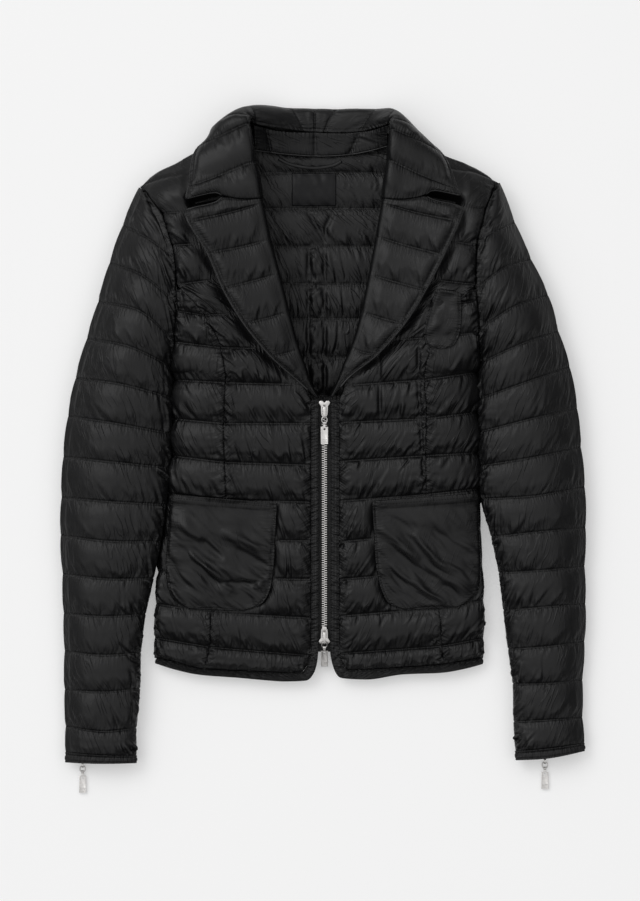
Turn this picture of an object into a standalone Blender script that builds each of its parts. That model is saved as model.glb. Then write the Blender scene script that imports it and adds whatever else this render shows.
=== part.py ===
"""Short quilted blazer jacket with a two-way zip, laid on its back on a flat surface and closed.

Frame: +Z up from the surface, +Y from the hem to the collar, +X towards the wearer's left sleeve.
The origin is on the flat underside of the back. All tables are in millimetres.
Every cloth piece is one wall: a plain side, and a side that swells between the quilt seams.
"""

import math

import bpy
import numpy as np
from mathutils import Vector
from mathutils.bvhtree import BVHTree

MM = 0.001
CLOTH = 3.0  # quilted wall at a seam: two fabrics and the pressed wadding
PLAIN = 2.2  # pocket and band cloth, without wadding channels
SWELL = 4.6  # how far a channel rises between its seams
GAP = 0.4  # under what lies on a panel
LAPEL_GAP = 1.3
SEAM_GAP = 0.6  # between the walls of two pieces that are sewn together
ARMHOLE_GAP = 1.8  # between the body and the first and last column of a sleeve
PRESSED = 0.2  # share of the swell that is left under a lapel or pocket
PRESSED_EDGE = 7.0  # how far beyond the lapel's edge it is still held down
STEPS = 3  # rows of points for each channel
OUTLINE_IN = 2.0  # the seams lie this far inside the outline that the channels swell to

SIDE_ROLL = 42.0  # width over which a front falls away to the side seam
SHOULDER_ROLL = 26.0  # length over which it falls away to the shoulder seam
SHOULDER_Z = 27.0  # height of the shoulder seam
SHOULDER_RISE = 60.0  # length over which the side seam's height rises to the shoulder tip
NECK_FLAT = 58.0  # within this distance of the middle the back isn't lifted by the shoulders
MIDDLE = 0.46  # height of the side seams as a share of the body's
TIP_Y, UNDERARM_Y = 279.0, 84.0  # the ends of the armhole
ARMHOLE_RISE = 19.0  # how far the armhole seams stand off the middle height

ZIP_X = -0.6
NECK_X = -3.0  # middle of the neck
CHAIN_WIDTH, CHAIN_THICK = 6.2, 2.3
CHAIN_ENDS = (33.0, -186.5)
TAPE_THICK, TAPE_X = 0.9, 10.5
TAPE_ENDS = (53.0, -214.0)

# Height of the body over the surface, by y.
BODY_HEIGHT = ((-250, 15), (-205, 19), (-150, 28), (-50, 39), (50, 48), (150, 53), (250, 53), (345, 46))

# Columns: y, x. Armhole from the shoulder tip down to the underarm, then the side seam to the hem.
OUTER_EDGE = {
    "right": (
        (-230, -181.5), (-160, -179), (-95, -172.5), (-47, -166), (-6, -162.5), (32, -161), (67, -160.5),
        (91, -160), (124, -157.5), (150, -156.5), (181, -156.5), (205, -158.5), (221, -162.5),
        (248, -170.5), (258, -178), (279, -194.5),
    ),
    "left": (
        (-230, 168), (-160, 168), (-95, 165.5), (-47, 163.5), (-6, 162), (32, 161.5), (67, 161.5), (91, 161.5),
        (132, 161.5), (164, 159.5), (189, 158.5), (216, 160), (237, 164), (256, 170), (281, 181),
    ),
}
# Columns: y, x. The roll line of the lapel, then the outer side of the zip facing.
INNER_EDGE = {
    "right": (
        (-240, -29), (-228, -24.5), (-205, -20.2), (-100, -19.8), (40, -19.8), (60, -21), (73, -24.6),
        (105, -32), (135, -39.6), (160, -45.6), (194, -55.5), (229, -63), (266, -70.5), (315, -80), (344, -88),
    ),
    "left": (
        (-236, 28), (-224, 22), (-205, 18.8), (-100, 18.5), (40, 18.5), (60, 19.5), (73, 22), (108, 33.5),
        (147, 43.5), (187, 51.5), (229, 59), (268, 65.5), (307, 71.5), (344, 78),
    ),
}
# Columns: y, x. Princess seam from the armhole to the hem band.
PRINCESS = {
    "right": (
        (-236, -129), (-205, -122), (-173, -120.5), (-117, -109), (-49, -105), (-7, -106), (28, -107),
        (76, -105), (108, -110), (145, -129), (174.5, -156),
    ),
    "left": (
        (-228, 125.5), (-209, 124), (-168, 121), (-117, 114.5), (-49, 107), (-7, 106), (34, 107), (76, 105),
        (108, 111), (145, 131), (174.5, 158.5),
    ),
}
# Columns: x, y along the shoulder from its tip to the neck.
SHOULDER = {
    "right": ((-196, 279), (-188, 288), (-170, 299), (-150, 308), (-139, 315), (-109, 329), (-84, 341)),
    "left": ((184, 283), (167, 295), (149, 304), (128, 312), (101, 327), (74, 341)),
}
# Quilt seams of the fronts. Columns: y at the outer edge, half way or princess seam, inner edge.
FRONT_SEAMS = {
    "right": (
        (250, 253, 259), (216, 219, 223), (175, 180, 188), (147, 142, 147), (114, 108, 106), (74, 71, 69),
        (33, 28, 28), (-6, -13, -16), (-46, -53, -55), (-90, -95, -96), (-128, -135, -137), (-163, -172, -178),
        (-199, -209, -218), (-219.4, -231.9, -236.3),
    ),
    "left": (
        (255, 261, 260), (216, 223, 225), (185, 185, 186), (158, 154, 151), (124, 119, 113), (82, 74, 68),
        (40, 33, 29), (-3, -6, -12), (-41, -47, -54), (-84, -88, -97), (-123, -128, -137), (-159, -167, -176),
        (-200, -208, -216), (-220, -227.2, -233.5),
    ),
}
PRINCESS_FROM = 2  # the quilt seam at which the princess seam leaves the armhole
BACK_SEAMS = (256, 216, 176, 139, 98, 57, 17, -23, -64, -104, -144, -182, -212)
HEM_AT_SIDES = -221
# Columns: x, y. The back's top edge over both shoulders and along the neck seam.
BACK_TOP = (
    (-193.5, 278.5), (-187, 287), (-170, 298), (-150, 307), (-139, 314), (-109, 328), (-90, 338), (-80, 338),
    (-69, 326), (-50, 320), (-10, 317), (30, 319), (54, 325), (66, 334), (78, 337), (101, 326), (128, 311),
    (149, 303), (167, 294), (179.5, 281),
)

# Sleeve seams. Columns: outer x, y; half way x, y; inner x, y; lowest and highest point over the surface.
SLEEVES = {
    "right": (
        (-199, 278, -194.6, 275.6, -190.8, 272, 20, 34),
        (-216, 238, -191, 226, -161, 204, 0, 49),
        (-230, 198, -196, 186, -158, 156, 0, 53),
        (-242, 157, -196, 147, -158, 116, 0, 53),
        (-254, 118, -209, 110, -163, 88, 0, 51),
        (-266, 76, -218, 70, -167, 55, 0, 49),
        (-274, 36, -226, 29, -169, 17, 0, 47),
        (-279, -7, -230, -12, -173, -19, 0, 45),
        (-281, -50, -233, -54, -177, -58, 0, 43),
        (-282, -90, -233, -96, -181, -97, 0, 41),
        (-280, -131, -233, -136, -187, -136, 0, 38),
        (-279, -173, -233, -176, -192, -174, 0, 35),
        (-278, -213, -236, -217, -195, -215, 0, 32),
        (-278, -254, -235, -256, -196, -253, 0, 29),
        (-277, -293, -235, -298, -200, -295, 0, 27),
        (-277, -321, -238, -323.5, -200, -324.5, 4.6, 26),
    ),
    "left": (
        (187.8, 281.8, 184, 279, 179.8, 272.6, 20, 34),
        (203, 241, 182, 232, 162, 223, 0, 49),
        (220, 202, 194, 195, 159, 172, 0, 53),
        (238, 164, 201, 152, 162, 128, 0, 53),
        (249, 126, 210, 113, 164, 92, 0, 51),
        (261, 88, 216, 73, 167, 54, 0, 49),
        (269, 44, 222, 34, 168, 19, 0, 47),
        (273, 3, 224, -7, 169, -17, 0, 45),
        (277, -39, 225, -48, 171.5, -52, 0, 43),
        (278, -82, 230, -86, 176, -92, 0, 41),
        (277, -123, 232, -127, 184, -130, 0, 38),
        (278, -163, 232, -166, 189, -170, 0, 35),
        (277, -203, 234, -208, 194, -211, 0, 32),
        (275, -244, 236, -247, 199, -248, 0, 29),
        (275, -284, 236, -286, 200, -288, 0, 27),
        (277, -311.5, 236, -316.5, 202, -319.5, 4.6, 26),
    ),
}
UNDERARM_SEAM = 5  # the sleeve's first seam that goes all the way round
# Cuff bands: the same columns, from the sleeve's end to the cuff edge.
CUFFS = {
    "right": (
        (-277, -322.2, -238, -324.7, -200, -325.7, 4.6, 26),
        (-277.5, -331.5, -238, -332.5, -200, -332, 4.6, 25),
    ),
    "left": (
        (277, -312.7, 236, -317.7, 202, -320.7, 4.6, 26),
        (277.5, -319.5, 235, -327, 202.5, -329, 4.6, 25),
    ),
}

# Lapel seams. Columns: roll line x, y; half way x, y; outer edge x, y.
LAPELS = {
    "right": (
        (-66.5, 264.5, -99, 257, -146.5, 253),
        (-65.5, 260, -97, 251, -144, 240),
        (-57.5, 222, -88, 214, -124, 207),
        (-48, 186, -76, 178, -108, 170),
        (-38, 146, -60, 139, -86, 133),
        (-28, 107, -41, 102, -58, 99),
        (-19, 76, -23, 73.5, -28, 72),
        (-11, 60, -12.5, 60, -14, 60),
    ),
    "left": (
        (61, 264.5, 94, 257.5, 145.5, 254.5),
        (60, 260, 96, 250, 141, 240),
        (54, 225, 87, 215, 125, 205),
        (46.5, 185, 74, 177, 106, 168),
        (38.5, 146, 59, 139, 83.5, 132),
        (28.5, 108, 40, 103, 55, 100),
        (18, 80, 22, 78, 26, 77),
        (9, 60, 10.5, 61, 12, 62),
    ),
}
# Collar: seams from the right notch round the back of the neck to the left notch.
# Each has x, y, z points on the outside of the cloth, from the roll or stand seam over the fold.
COLLAR_SEAMS = (
    ((-65, 268, 50), (-68, 268, 57), (-92, 259, 57), (-109, 268.5, 57), (-124, 270.5, 57), (-147, 266, 56)),
    ((-72, 303, 50), (-75.5, 303, 57), (-93, 297, 57), (-110, 290, 56), (-128, 283, 55), (-144, 278, 53)),
    ((-79, 344, 48), (-82, 344, 55), (-94, 339, 55), (-109, 332, 51), (-125, 325, 46), (-136, 319, 40)),
    ((-76, 351, 42), (-80, 353, 48), (-98, 354, 47), (-113, 347, 38), (-117, 343, 25), (-105, 334, 8)),
    ((-72, 344.5, 33), (-74, 355, 38), (-78, 363, 32), (-80, 364.5, 18), (-78, 360, 6), (-75, 344, 0)),
    ((-45, 340, 17), (-45, 353, 19), (-45, 362, 15), (-45, 364.5, 8), (-45, 358, 0.6), (-45, 328, 0)),
    ((-12, 337.5, 13), (-12, 350, 14.5), (-12, 359.5, 12), (-12, 362.5, 7), (-12, 357, 0.5), (-12, 326, 0)),
    ((22, 336.5, 13), (22, 349, 14.5), (22, 358.5, 12), (22, 361.5, 7), (22, 356, 0.5), (22, 326, 0)),
    ((50, 339, 17), (50, 351, 19), (50, 360, 15), (50, 362, 8), (50, 356, 0.6), (50, 328, 0)),
    ((65, 344.5, 33), (68, 353, 38), (73, 359, 32), (75, 360, 18), (73, 356, 6), (71, 343, 0)),
    ((69, 350, 42), (72, 350, 48), (84, 347, 47), (96, 340, 38), (100, 337, 25), (95, 336, 10)),
    ((68, 338, 48), (71, 338, 55), (84, 333, 55), (99, 327, 51), (114, 319, 46), (125, 313, 40)),
    ((65, 305, 50), (68, 305, 57), (84, 298, 57), (101, 290, 56), (121, 282, 55), (140, 275, 53)),
    ((59, 268, 50), (62, 268, 57), (85, 260, 57), (104, 269, 57), (124, 271, 57), (142.5, 271, 56)),
)
# Stand of the collar: seams across the inside back neck. Columns: x, y, z of the top edge, of the neck seam.
STAND_SEAMS = (
    (-72, 342, 31, -69.5, 333, 27),
    (-58, 338.3, 22, -57, 319.5, 14.4),
    (-35, 336.3, 15.5, -35, 314.8, 9.4),
    (-8, 335.6, 12.8, -8, 313.2, 7.8),
    (22, 335.2, 12.8, 22, 313.9, 7.8),
    (45, 337, 16.5, 42, 318.5, 10.8),
    (57, 339.8, 23, 53, 323.5, 16),
    (65, 342, 31, 63, 334, 27),
)

# Zip facing and hem binding in one strip. Columns: inner edge x, y; outer edge x, y.
BANDS = {
    "right": (
        (-18.7, 50, -6.9, 54), (-18.9, 20, -6.9, 20), (-18.9, -60, -6.9, -60), (-18.9, -130, -6.9, -130),
        (-18.9, -190, -6.9, -190), (-19.2, -206, -7.4, -214), (-22, -224, -12.7, -234), (-28, -237, -24, -245),
        (-47, -236.4, -43, -245.6), (-92, -234.6, -92, -241.7), (-129, -232.7, -133, -238.5),
        (-158, -225.6, -161, -232.5), (-179, -220.6, -180.5, -226.5),
    ),
    "left": (
        (17.6, 50, 5.7, 54), (17.4, 20, 5.7, 20), (17.4, -60, 5.7, -60), (17.4, -130, 5.6, -130),
        (17.4, -190, 5.4, -190), (17.8, -205, 4.8, -212), (20.5, -222, 9.5, -229), (27, -234.4, 19, -242),
        (47, -232.9, 45, -243.5), (84, -230.8, 84, -238), (122, -228, 122, -236.5), (146, -224.3, 147, -232.5),
        (166.5, -220.9, 167.5, -227.3),
    ),
}
# Patch pockets. Columns: outer x, y; inner x, y of each row, from the mouth down.
POCKETS = {
    "right": (
        (-161, -47, -51.4, -56), (-163, -57, -51.6, -67), (-166, -92, -53, -100), (-168, -122, -54.5, -128),
        (-165, -148, -58.5, -149), (-156, -162, -68, -163), (-142, -168.5, -86, -170.5),
    ),
    "left": (
        (158, -45.6, 50.5, -54), (159, -56, 50.8, -65), (160.5, -92, 52.5, -98), (162, -124, 55, -128),
        (159.5, -147, 60, -148), (151, -160, 68, -162), (138, -166.5, 84, -169.5),
    ),
}
CHEST_POCKET = (
    (143, 166, 117, 170), (144, 146, 108, 142), (142.5, 125, 104, 122), (137, 112, 107, 112),
    (128, 107, 116, 107),
)

LABEL = (-35, 11.7, 260, 292)  # x from, to; y from, to
LABEL_THICK = 0.8
# Columns: x, y of the loop to hang it by.
HANGER_LOOP = ((-48, 306), (-40, 299), (-11.7, 294.5), (14, 298), (20, 304))
HANGER_RADIUS = 1.5

# Columns: x, y of a pull's hinge; height of the hinge; angle down; whether the slider is hidden under a cuff.
PULLS = {
    "top": (ZIP_X, 35.0, None, 4.0, False),
    "bottom": (ZIP_X, -203.5, None, 28.0, False),
    "cuff_right": (-257.6, -335.6, 3.0, 4.0, True),
    "cuff_left": (233.8, -331.6, 3.0, 4.0, True),
}
SLIDER_LENGTH, SLIDER_WIDTH, SLIDER_THICK = 16.5, 11.0, 3.6
BRIDGE_WIDTH, BRIDGE_RISE, BRIDGE_WALL = 2.2, 3.4, 1.1
LINK_LENGTH, LINK_WIDTH, WIRE = 6.6, 5.6, 1.0
TAB_LENGTH, TAB_WIDTH, TAB_THICK = 20.5, 7.2, 1.4
BARREL_WIDTH, BARREL_BORE, BARREL_WALL = 3.0, 1.8, 0.7

# Columns: colour (linear red, green, blue), roughness, metallic.
FINISHES = {
    "black_nylon": ((0.011, 0.011, 0.012), 0.55, 0.0),
    "black_webbing": ((0.008, 0.008, 0.009), 0.75, 0.0),
    "satin_label": ((0.03, 0.03, 0.032), 0.5, 0.0),
    "nickel": ((0.62, 0.62, 0.61), 0.28, 1.0),
}


def clear_scene():
    for obj in list(bpy.context.scene.objects):
        bpy.data.objects.remove(obj, do_unlink=True)


def finish(name):
    material = bpy.data.materials.get(name)
    if material is None:
        colour, roughness, metallic = FINISHES[name]
        material = bpy.data.materials.new(name)
        material.use_nodes = True
        shader = material.node_tree.nodes["Principled BSDF"]
        shader.inputs["Base Color"].default_value = (*colour, 1)
        shader.inputs["Roughness"].default_value = roughness
        shader.inputs["Metallic"].default_value = metallic
    return material


def smooth(table, swings=False):
    """A smooth function of the first column through the second, which swings past its points if told to."""
    table = np.array(table, float)
    keys, values = table[np.argsort(table[:, 0])].T
    slopes = np.gradient(values, keys)
    if not swings:
        rises = np.diff(values) / np.diff(keys)
        before, after = rises[:-1], rises[1:]
        total = np.where(before * after > 0, before + after, 1)
        slopes[1:-1] = np.where(before * after > 0, 2 * before * after / total, 0)

    def at(where):
        where = np.clip(where, keys[0], keys[-1])
        i = np.clip(np.searchsorted(keys, where) - 1, 0, len(keys) - 2)
        span = keys[i + 1] - keys[i]
        t = (where - keys[i]) / span
        return (
            (2 * t**3 - 3 * t**2 + 1) * values[i]
            + (t**3 - 2 * t**2 + t) * span * slopes[i]
            + (3 * t**2 - 2 * t**3) * values[i + 1]
            + (t**3 - t**2) * span * slopes[i + 1]
        )

    return at


def through(points, shares):
    """Points at these shares of the length of a smooth curve through the given ones."""
    points = np.array(points, float)
    along = np.concatenate([[0], np.cumsum(np.linalg.norm(np.diff(points, axis=0), axis=1))])
    fine = np.linspace(0, along[-1], 40 * len(points))
    curve = np.stack([smooth(np.stack([along, axis], 1), True)(fine) for axis in points.T], 1)
    length = np.concatenate([[0], np.cumsum(np.linalg.norm(np.diff(curve, axis=0), axis=1))])
    where = np.array(shares) * length[-1]
    return np.stack([np.interp(where, length, axis) for axis in curve.T], 1)


def loft(seams, shares, steps):
    """A grid of points whose every steps-th row is a seam, and whose columns run smoothly over them."""
    rows = np.array([through(seam, shares) for seam in seams])
    index = np.arange(len(rows), dtype=float)
    fine = np.linspace(0, len(rows) - 1, (len(rows) - 1) * steps + 1)
    slopes = np.gradient(rows, index, axis=0)
    i = np.clip(fine.astype(int), 0, len(rows) - 2)
    t = (fine - i)[:, None, None]
    return (
        (2 * t**3 - 3 * t**2 + 1) * rows[i]
        + (t**3 - 2 * t**2 + t) * slopes[i]
        + (3 * t**2 - 2 * t**3) * rows[i + 1]
        + (t**3 - t**2) * slopes[i + 1]
    )


def normals(grid, side):
    """Unit normals of a grid. side is the direction, roughly, in which they point at the middle."""
    across = np.cross(np.gradient(grid, axis=0), np.gradient(grid, axis=1))
    across /= np.maximum(np.linalg.norm(across, axis=2, keepdims=True), 1e-9)
    middle = across[len(grid) // 2, grid.shape[1] // 2]
    return across if np.dot(middle, side) > 0 else -across


def channels(rows, steps=STEPS):
    """The height of the swell at each row, from 0 at a seam to 1."""
    share = np.arange(rows) % steps / steps
    return np.sin(np.pi * share) ** 0.6


def quarter(share):
    """A quarter circle's height: 0 at share 0, 1 from share 1."""
    return np.sqrt(1 - (1 - np.clip(share, 0, 1)) ** 2)


def edge_taper(grid, reach, ends=(True, True)):
    """Less swell near the first and last columns, where a seam holds the cloth down."""
    steps = np.linalg.norm(np.diff(grid, axis=1), axis=2)
    along = np.concatenate([np.zeros((len(grid), 1)), np.cumsum(steps, axis=1)], axis=1)
    first = quarter(along / reach) if ends[0] else 1
    last = quarter((along[:, -1:] - along) / reach) if ends[1] else 1
    return first * last


def add_mesh(name, points, faces, material, rounded=True):
    points = np.array(points, float)
    first = np.array([points[face[0]] for face in faces])
    volume = 0.0
    for face, origin in zip(faces, first):
        for a, b in zip(face[1:], face[2:]):
            volume += np.dot(origin, np.cross(points[a], points[b]))
    if volume < 0:
        faces = [face[::-1] for face in faces]
    mesh = bpy.data.meshes.new(name)
    mesh.from_pydata([tuple(point * MM) for point in points], [], [tuple(face) for face in faces])
    mesh.materials.append(finish(material))
    if rounded:
        mesh.shade_smooth()
    obj = bpy.data.objects.new(name, mesh)
    bpy.context.scene.collection.objects.link(obj)
    return obj


def wall(name, fine, plain, plain_rows=None, ring_from=None, material="black_nylon"):
    """A wall between a grid of points and some rows of a plainer grid of the same size.

    From row ring_from on, the last column joins the first one, as in a tube.
    """
    rows, columns = fine.shape[:2]
    plain_rows = list(range(rows)) if plain_rows is None else plain_rows
    ring_from = rows if ring_from is None else ring_from
    points = np.concatenate([fine.reshape(-1, 3), plain[plain_rows].reshape(-1, 3)])
    start = rows * columns

    def outside(row, column):
        return row * columns + column % columns

    def inside(row, column):
        return start + row * columns + column % columns

    faces = []
    for row in range(rows - 1):
        for column in range(columns if row >= ring_from else columns - 1):
            faces.append([
                outside(row, column), outside(row, column + 1),
                outside(row + 1, column + 1), outside(row + 1, column),
            ])
    for k, row in enumerate(plain_rows[:-1]):
        for column in range(columns if row >= ring_from else columns - 1):
            faces.append([
                inside(k, column + 1), inside(k, column), inside(k + 1, column), inside(k + 1, column + 1),
            ])
    for column in range(columns if ring_from == 0 else columns - 1):
        faces.append([outside(0, column + 1), outside(0, column), inside(0, column), inside(0, column + 1)])
    last, end = rows - 1, len(plain_rows) - 1
    for column in range(columns if ring_from < rows else columns - 1):
        faces.append([
            outside(last, column), outside(last, column + 1), inside(end, column + 1), inside(end, column),
        ])
    for k, row in enumerate(plain_rows[:-1]):
        if row >= ring_from:
            continue
        to = plain_rows[k + 1]
        first = [inside(k, 0)] + [outside(r, 0) for r in range(row, to + 1)] + [inside(k + 1, 0)]
        final = [inside(k, columns - 1)] + [outside(r, columns - 1) for r in range(row, to + 1)]
        final += [inside(k + 1, columns - 1)]
        faces += [[first[0], first[i], first[i + 1]] for i in range(1, len(first) - 1)]
        faces += [[final[0], final[i + 1], final[i]] for i in range(1, len(final) - 1)]
    if 0 < ring_from < rows:
        k = plain_rows.index(ring_from)
        faces.append([
            outside(ring_from, 0), outside(ring_from, columns - 1), inside(k, columns - 1), inside(k, 0),
        ])
    return add_mesh(name, points, faces, material)


class Lower:
    """The pieces that others lie on, looked at from above."""

    def __init__(self, objects):
        points, faces = [], []
        for obj in objects:
            faces += [[len(points) + i for i in polygon.vertices] for polygon in obj.data.polygons]
            points += [vertex.co / MM for vertex in obj.data.vertices]
        self.tree = BVHTree.FromPolygons(points, faces)

    def top(self, x, y):
        """The height of the highest surface at x, y, or a very low one off the edge."""
        hit = self.tree.ray_cast(Vector((x, y, 500.0)), Vector((0.0, 0.0, -1.0)))[0]
        return -1000.0 if hit is None else hit.z

    def lay(self, grid, gap=GAP, floor=None):
        """The grid with its heights raised so that its faces clear what lies below by the gap."""
        grid = grid.copy()
        tops = np.array([[self.top(x, y) for x, y in row] for row in grid[:, :, :2]]) + gap
        for column in range(tops.shape[1] - 2, -1, -1):
            missed = tops[:, column] < -500
            tops[missed, column] = tops[missed, column + 1]
        for column in range(1, tops.shape[1]):
            missed = tops[:, column] < -500
            tops[missed, column] = tops[missed, column - 1]
        for row in range(1, len(tops)):
            tops[row] = np.where(tops[row] < -500, tops[row - 1], tops[row])
        grid[:, :, 2] = tops if floor is None else np.maximum(tops, floor)
        shares = (0.0, 0.2, 0.4, 0.6, 0.8, 1.0)
        for _ in range(4):
            for i in range(len(grid) - 1):
                for j in range(grid.shape[1] - 1):
                    a, b, c, d = grid[i, j], grid[i, j + 1], grid[i + 1, j + 1], grid[i + 1, j]
                    need = 0.0
                    for s in shares:
                        for t in shares:
                            corners = (a, b, c) if t <= s else (a, c, d)
                            parts = (1 - s, s - t, t) if t <= s else (1 - t, s, t - s)
                            other = (a, b, d) if s + t <= 1 else (c, d, b)
                            fewer = (1 - s - t, s, t) if s + t <= 1 else (s + t - 1, 1 - s, 1 - t)
                            place = sum(w * p for w, p in zip(parts, corners))
                            lowest = min(place[2], sum(w * p[2] for w, p in zip(fewer, other)))
                            need = max(need, self.top(place[0], place[1]) + gap - lowest)
                    if need > 0:
                        for point in (a, b, c, d):
                            point[2] += need
        return grid


body_height = smooth(BODY_HEIGHT)


def armhole(y):
    """How far the armhole seams stand off the middle height at y: none at the tip and the underarm."""
    share = np.clip((y - UNDERARM_Y) / (TIP_Y - UNDERARM_Y), 0, 1)
    return ARMHOLE_RISE * np.sin(np.pi * share) ** 0.7


def middle_height(y):
    """Height of the side seams, and half way up the armhole."""
    side_seam = MIDDLE * body_height(y)
    risen = 1 - np.clip((TIP_Y - y) / SHOULDER_RISE, 0, 1)
    return side_seam + (SHOULDER_Z - side_seam) * risen


def over_front(side, x, y):
    """Height of the front's cloth at its seams, falling away to the side seam and the shoulder."""
    edge = smooth(OUTER_EDGE[side])(y)
    low = middle_height(y) + armhole(y)
    rise = quarter(np.abs(x - edge) / SIDE_ROLL)
    height = low + (body_height(y) - low) * rise
    down = smooth(SHOULDER[side])(x) - y
    return SHOULDER_Z + (height - SHOULDER_Z) * quarter((down - SEAM_GAP) / SHOULDER_ROLL)


def under_back(x, y):
    """Height of the back's underside: flat, and rising to the side seams and the shoulders."""
    edge = np.where(x < 0, smooth(OUTER_EDGE["right"])(y), smooth(OUTER_EDGE["left"])(y))
    low = np.maximum(middle_height(y) - armhole(y) - GAP, 0.5)
    height = low * (1 - quarter(np.abs(x - edge) / SIDE_ROLL))
    right_line, left_line = smooth(SHOULDER["right"]), smooth(SHOULDER["left"])
    down = np.where(x < 0, right_line(x), left_line(x)) - y
    out = np.clip((np.abs(x - NECK_X) - NECK_FLAT) / 22, 0, 1)
    out = out * out * (3 - 2 * out)
    lift = (SHOULDER_Z - 2 * GAP - height) * (1 - quarter((down - SEAM_GAP) / SHOULDER_ROLL))
    return height + lift * out


def pressed(side, x, y):
    """Less swell where a lapel or a pocket holds the front down."""
    sign = -1 if side == "right" else 1
    lapel = smooth([(row[5], row[4]) for row in LAPELS[side]])
    under_lapel = (y < 262) & (y > 52) & (sign * x < sign * lapel(y) + PRESSED_EDGE)
    under_collar = (y >= 262) & (sign * x < 146)
    mouth, foot = POCKETS[side][0], POCKETS[side][-1]
    under_pocket = (y < mouth[1] + 2) & (y > foot[1] - 2) & (sign * x > sign * mouth[2] - 2)
    under = under_lapel | under_collar | under_pocket
    if side == "left":
        under = under | ((x > 100) & (y > 103) & (y < 172))
    return np.where(under, PRESSED, 1.0)


def front_pieces(side):
    """The front, from princess seam and armhole to the zip, and the side panel beyond the princess seam."""
    outer, inner, princess = smooth(OUTER_EDGE[side]), smooth(INNER_EDGE[side]), smooth(PRINCESS[side])
    sign = -1 if side == "right" else 1
    shoulder = smooth(SHOULDER[side])
    top = PRINCESS[side][-1][0]
    along = np.linspace(SHOULDER[side][0][0], SHOULDER[side][-1][0], 7)
    fronts, sides = [[(x, shoulder(x) - SEAM_GAP) for x in along]], []
    for k, (y_out, y_mid, y_in) in enumerate(FRONT_SEAMS[side]):
        end = (inner(y_in), y_in)
        if k < PRINCESS_FROM:
            start = (outer(y_out), y_out)
            fronts.append([start, ((start[0] + end[0]) / 2, y_mid), end])
            continue
        seam = (princess(y_mid), y_mid) if k > PRINCESS_FROM else (outer(top), top)
        fronts.append([seam, ((seam[0] + end[0]) / 2, (seam[1] + y_in) / 2), end])
        far = (outer(y_out), y_out) if k > PRINCESS_FROM else (outer(top - 5), top - 5)
        near = seam if k > PRINCESS_FROM else (princess(top - 4), top - 4)
        sides.append([far, ((far[0] + near[0]) / 2, (far[1] + near[1]) / 2), near])

    def edge_of_front(y):
        return np.where(y > top, outer(y), princess(y) - sign * SEAM_GAP)

    flat = loft(fronts, np.linspace(0, 1, 9), STEPS)
    flat[1:, 0, 0] = edge_of_front(flat[1:, 0, 1])
    flat[1:, -1, 0] = inner(flat[1:, -1, 1])
    front = panel(f"front_{side}", side, flat, 20, [0, 1, 2] + list(range(STEPS, len(flat), STEPS)))
    rolled = 1 - np.cos(np.linspace(0, 0.5, 7) * np.pi)
    flat = loft(sides, rolled, STEPS)
    flat[:, 0, 0] = outer(flat[:, 0, 1])
    flat[:, -1, 0] = princess(flat[:, -1, 1]) + sign * 0.5 * SEAM_GAP
    return [front, panel(f"side_{side}", side, flat, 16, list(range(0, len(flat), STEPS)))]


def panel(name, side, flat, reach, rows):
    """A quilted piece of the front: its edges stay on the seams and its channels swell between them."""
    x, y = flat[:, :, 0], flat[:, :, 1]
    base = np.dstack([x, y, over_front(side, x, y)])
    out = normals(base, (0, 0, 1))
    swell = SWELL * channels(len(base))[:, None] * edge_taper(base, reach) * pressed(side, x, y)
    inside = base - out * CLOTH
    inside[:, 0, 2] = np.maximum(inside[:, 0, 2], np.minimum(base[:, 0, 2], middle_height(y[:, 0]) + GAP))
    if rows[1] == 1:
        inside[0, :, 2] = np.maximum(inside[0, :, 2], SHOULDER_Z + GAP / 2)
    return wall(name, base + out * swell[:, :, None], inside, rows)


def back_piece():
    edge_right, edge_left = smooth(OUTER_EDGE["right"]), smooth(OUTER_EDGE["left"])
    shares = np.linspace(0, 1, 21)
    shares = 0.35 * shares + 0.65 * (1 - np.cos(np.pi * shares)) / 2
    seams = [BACK_TOP]
    seams.append([(-186.5, 267), (-120, 288), (-60, 294), (0, 295), (55, 294), (110, 288), (174.5, 267)])
    for y in BACK_SEAMS:
        last = y == BACK_SEAMS[-1]
        side_y = HEM_AT_SIDES if last else y
        between = y - 4 if last else y
        seams.append([
            (edge_right(side_y), side_y), (-90, between), (0, y), (85, between), (edge_left(side_y), side_y),
        ])
    flat = loft(seams, shares, STEPS)
    flat[1:, 0, 0] = edge_right(flat[1:, 0, 1]) + 0.1
    flat[1:, -1, 0] = edge_left(flat[1:, -1, 1]) - 0.1
    x, y = flat[:, :, 0], flat[:, :, 1]
    under = np.dstack([x, y, under_back(x, y)])
    inward = normals(under, (0, 0, 1))
    swell = 0.75 * SWELL * channels(len(flat))[:, None] * edge_taper(flat, 60)
    inside = under + inward * (CLOTH + swell)[:, :, None]
    for edge in (np.s_[:, 0], np.s_[:, -1]):
        inside[edge][..., 2] = np.minimum(inside[edge][..., 2], under[edge][..., 2])
    inside[0, :, 2] = np.minimum(inside[0, :, 2], SHOULDER_Z - GAP)
    rows = [0, 1, 2] + list(range(STEPS, len(flat), STEPS))
    return wall("back", inside, under, rows)


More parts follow.
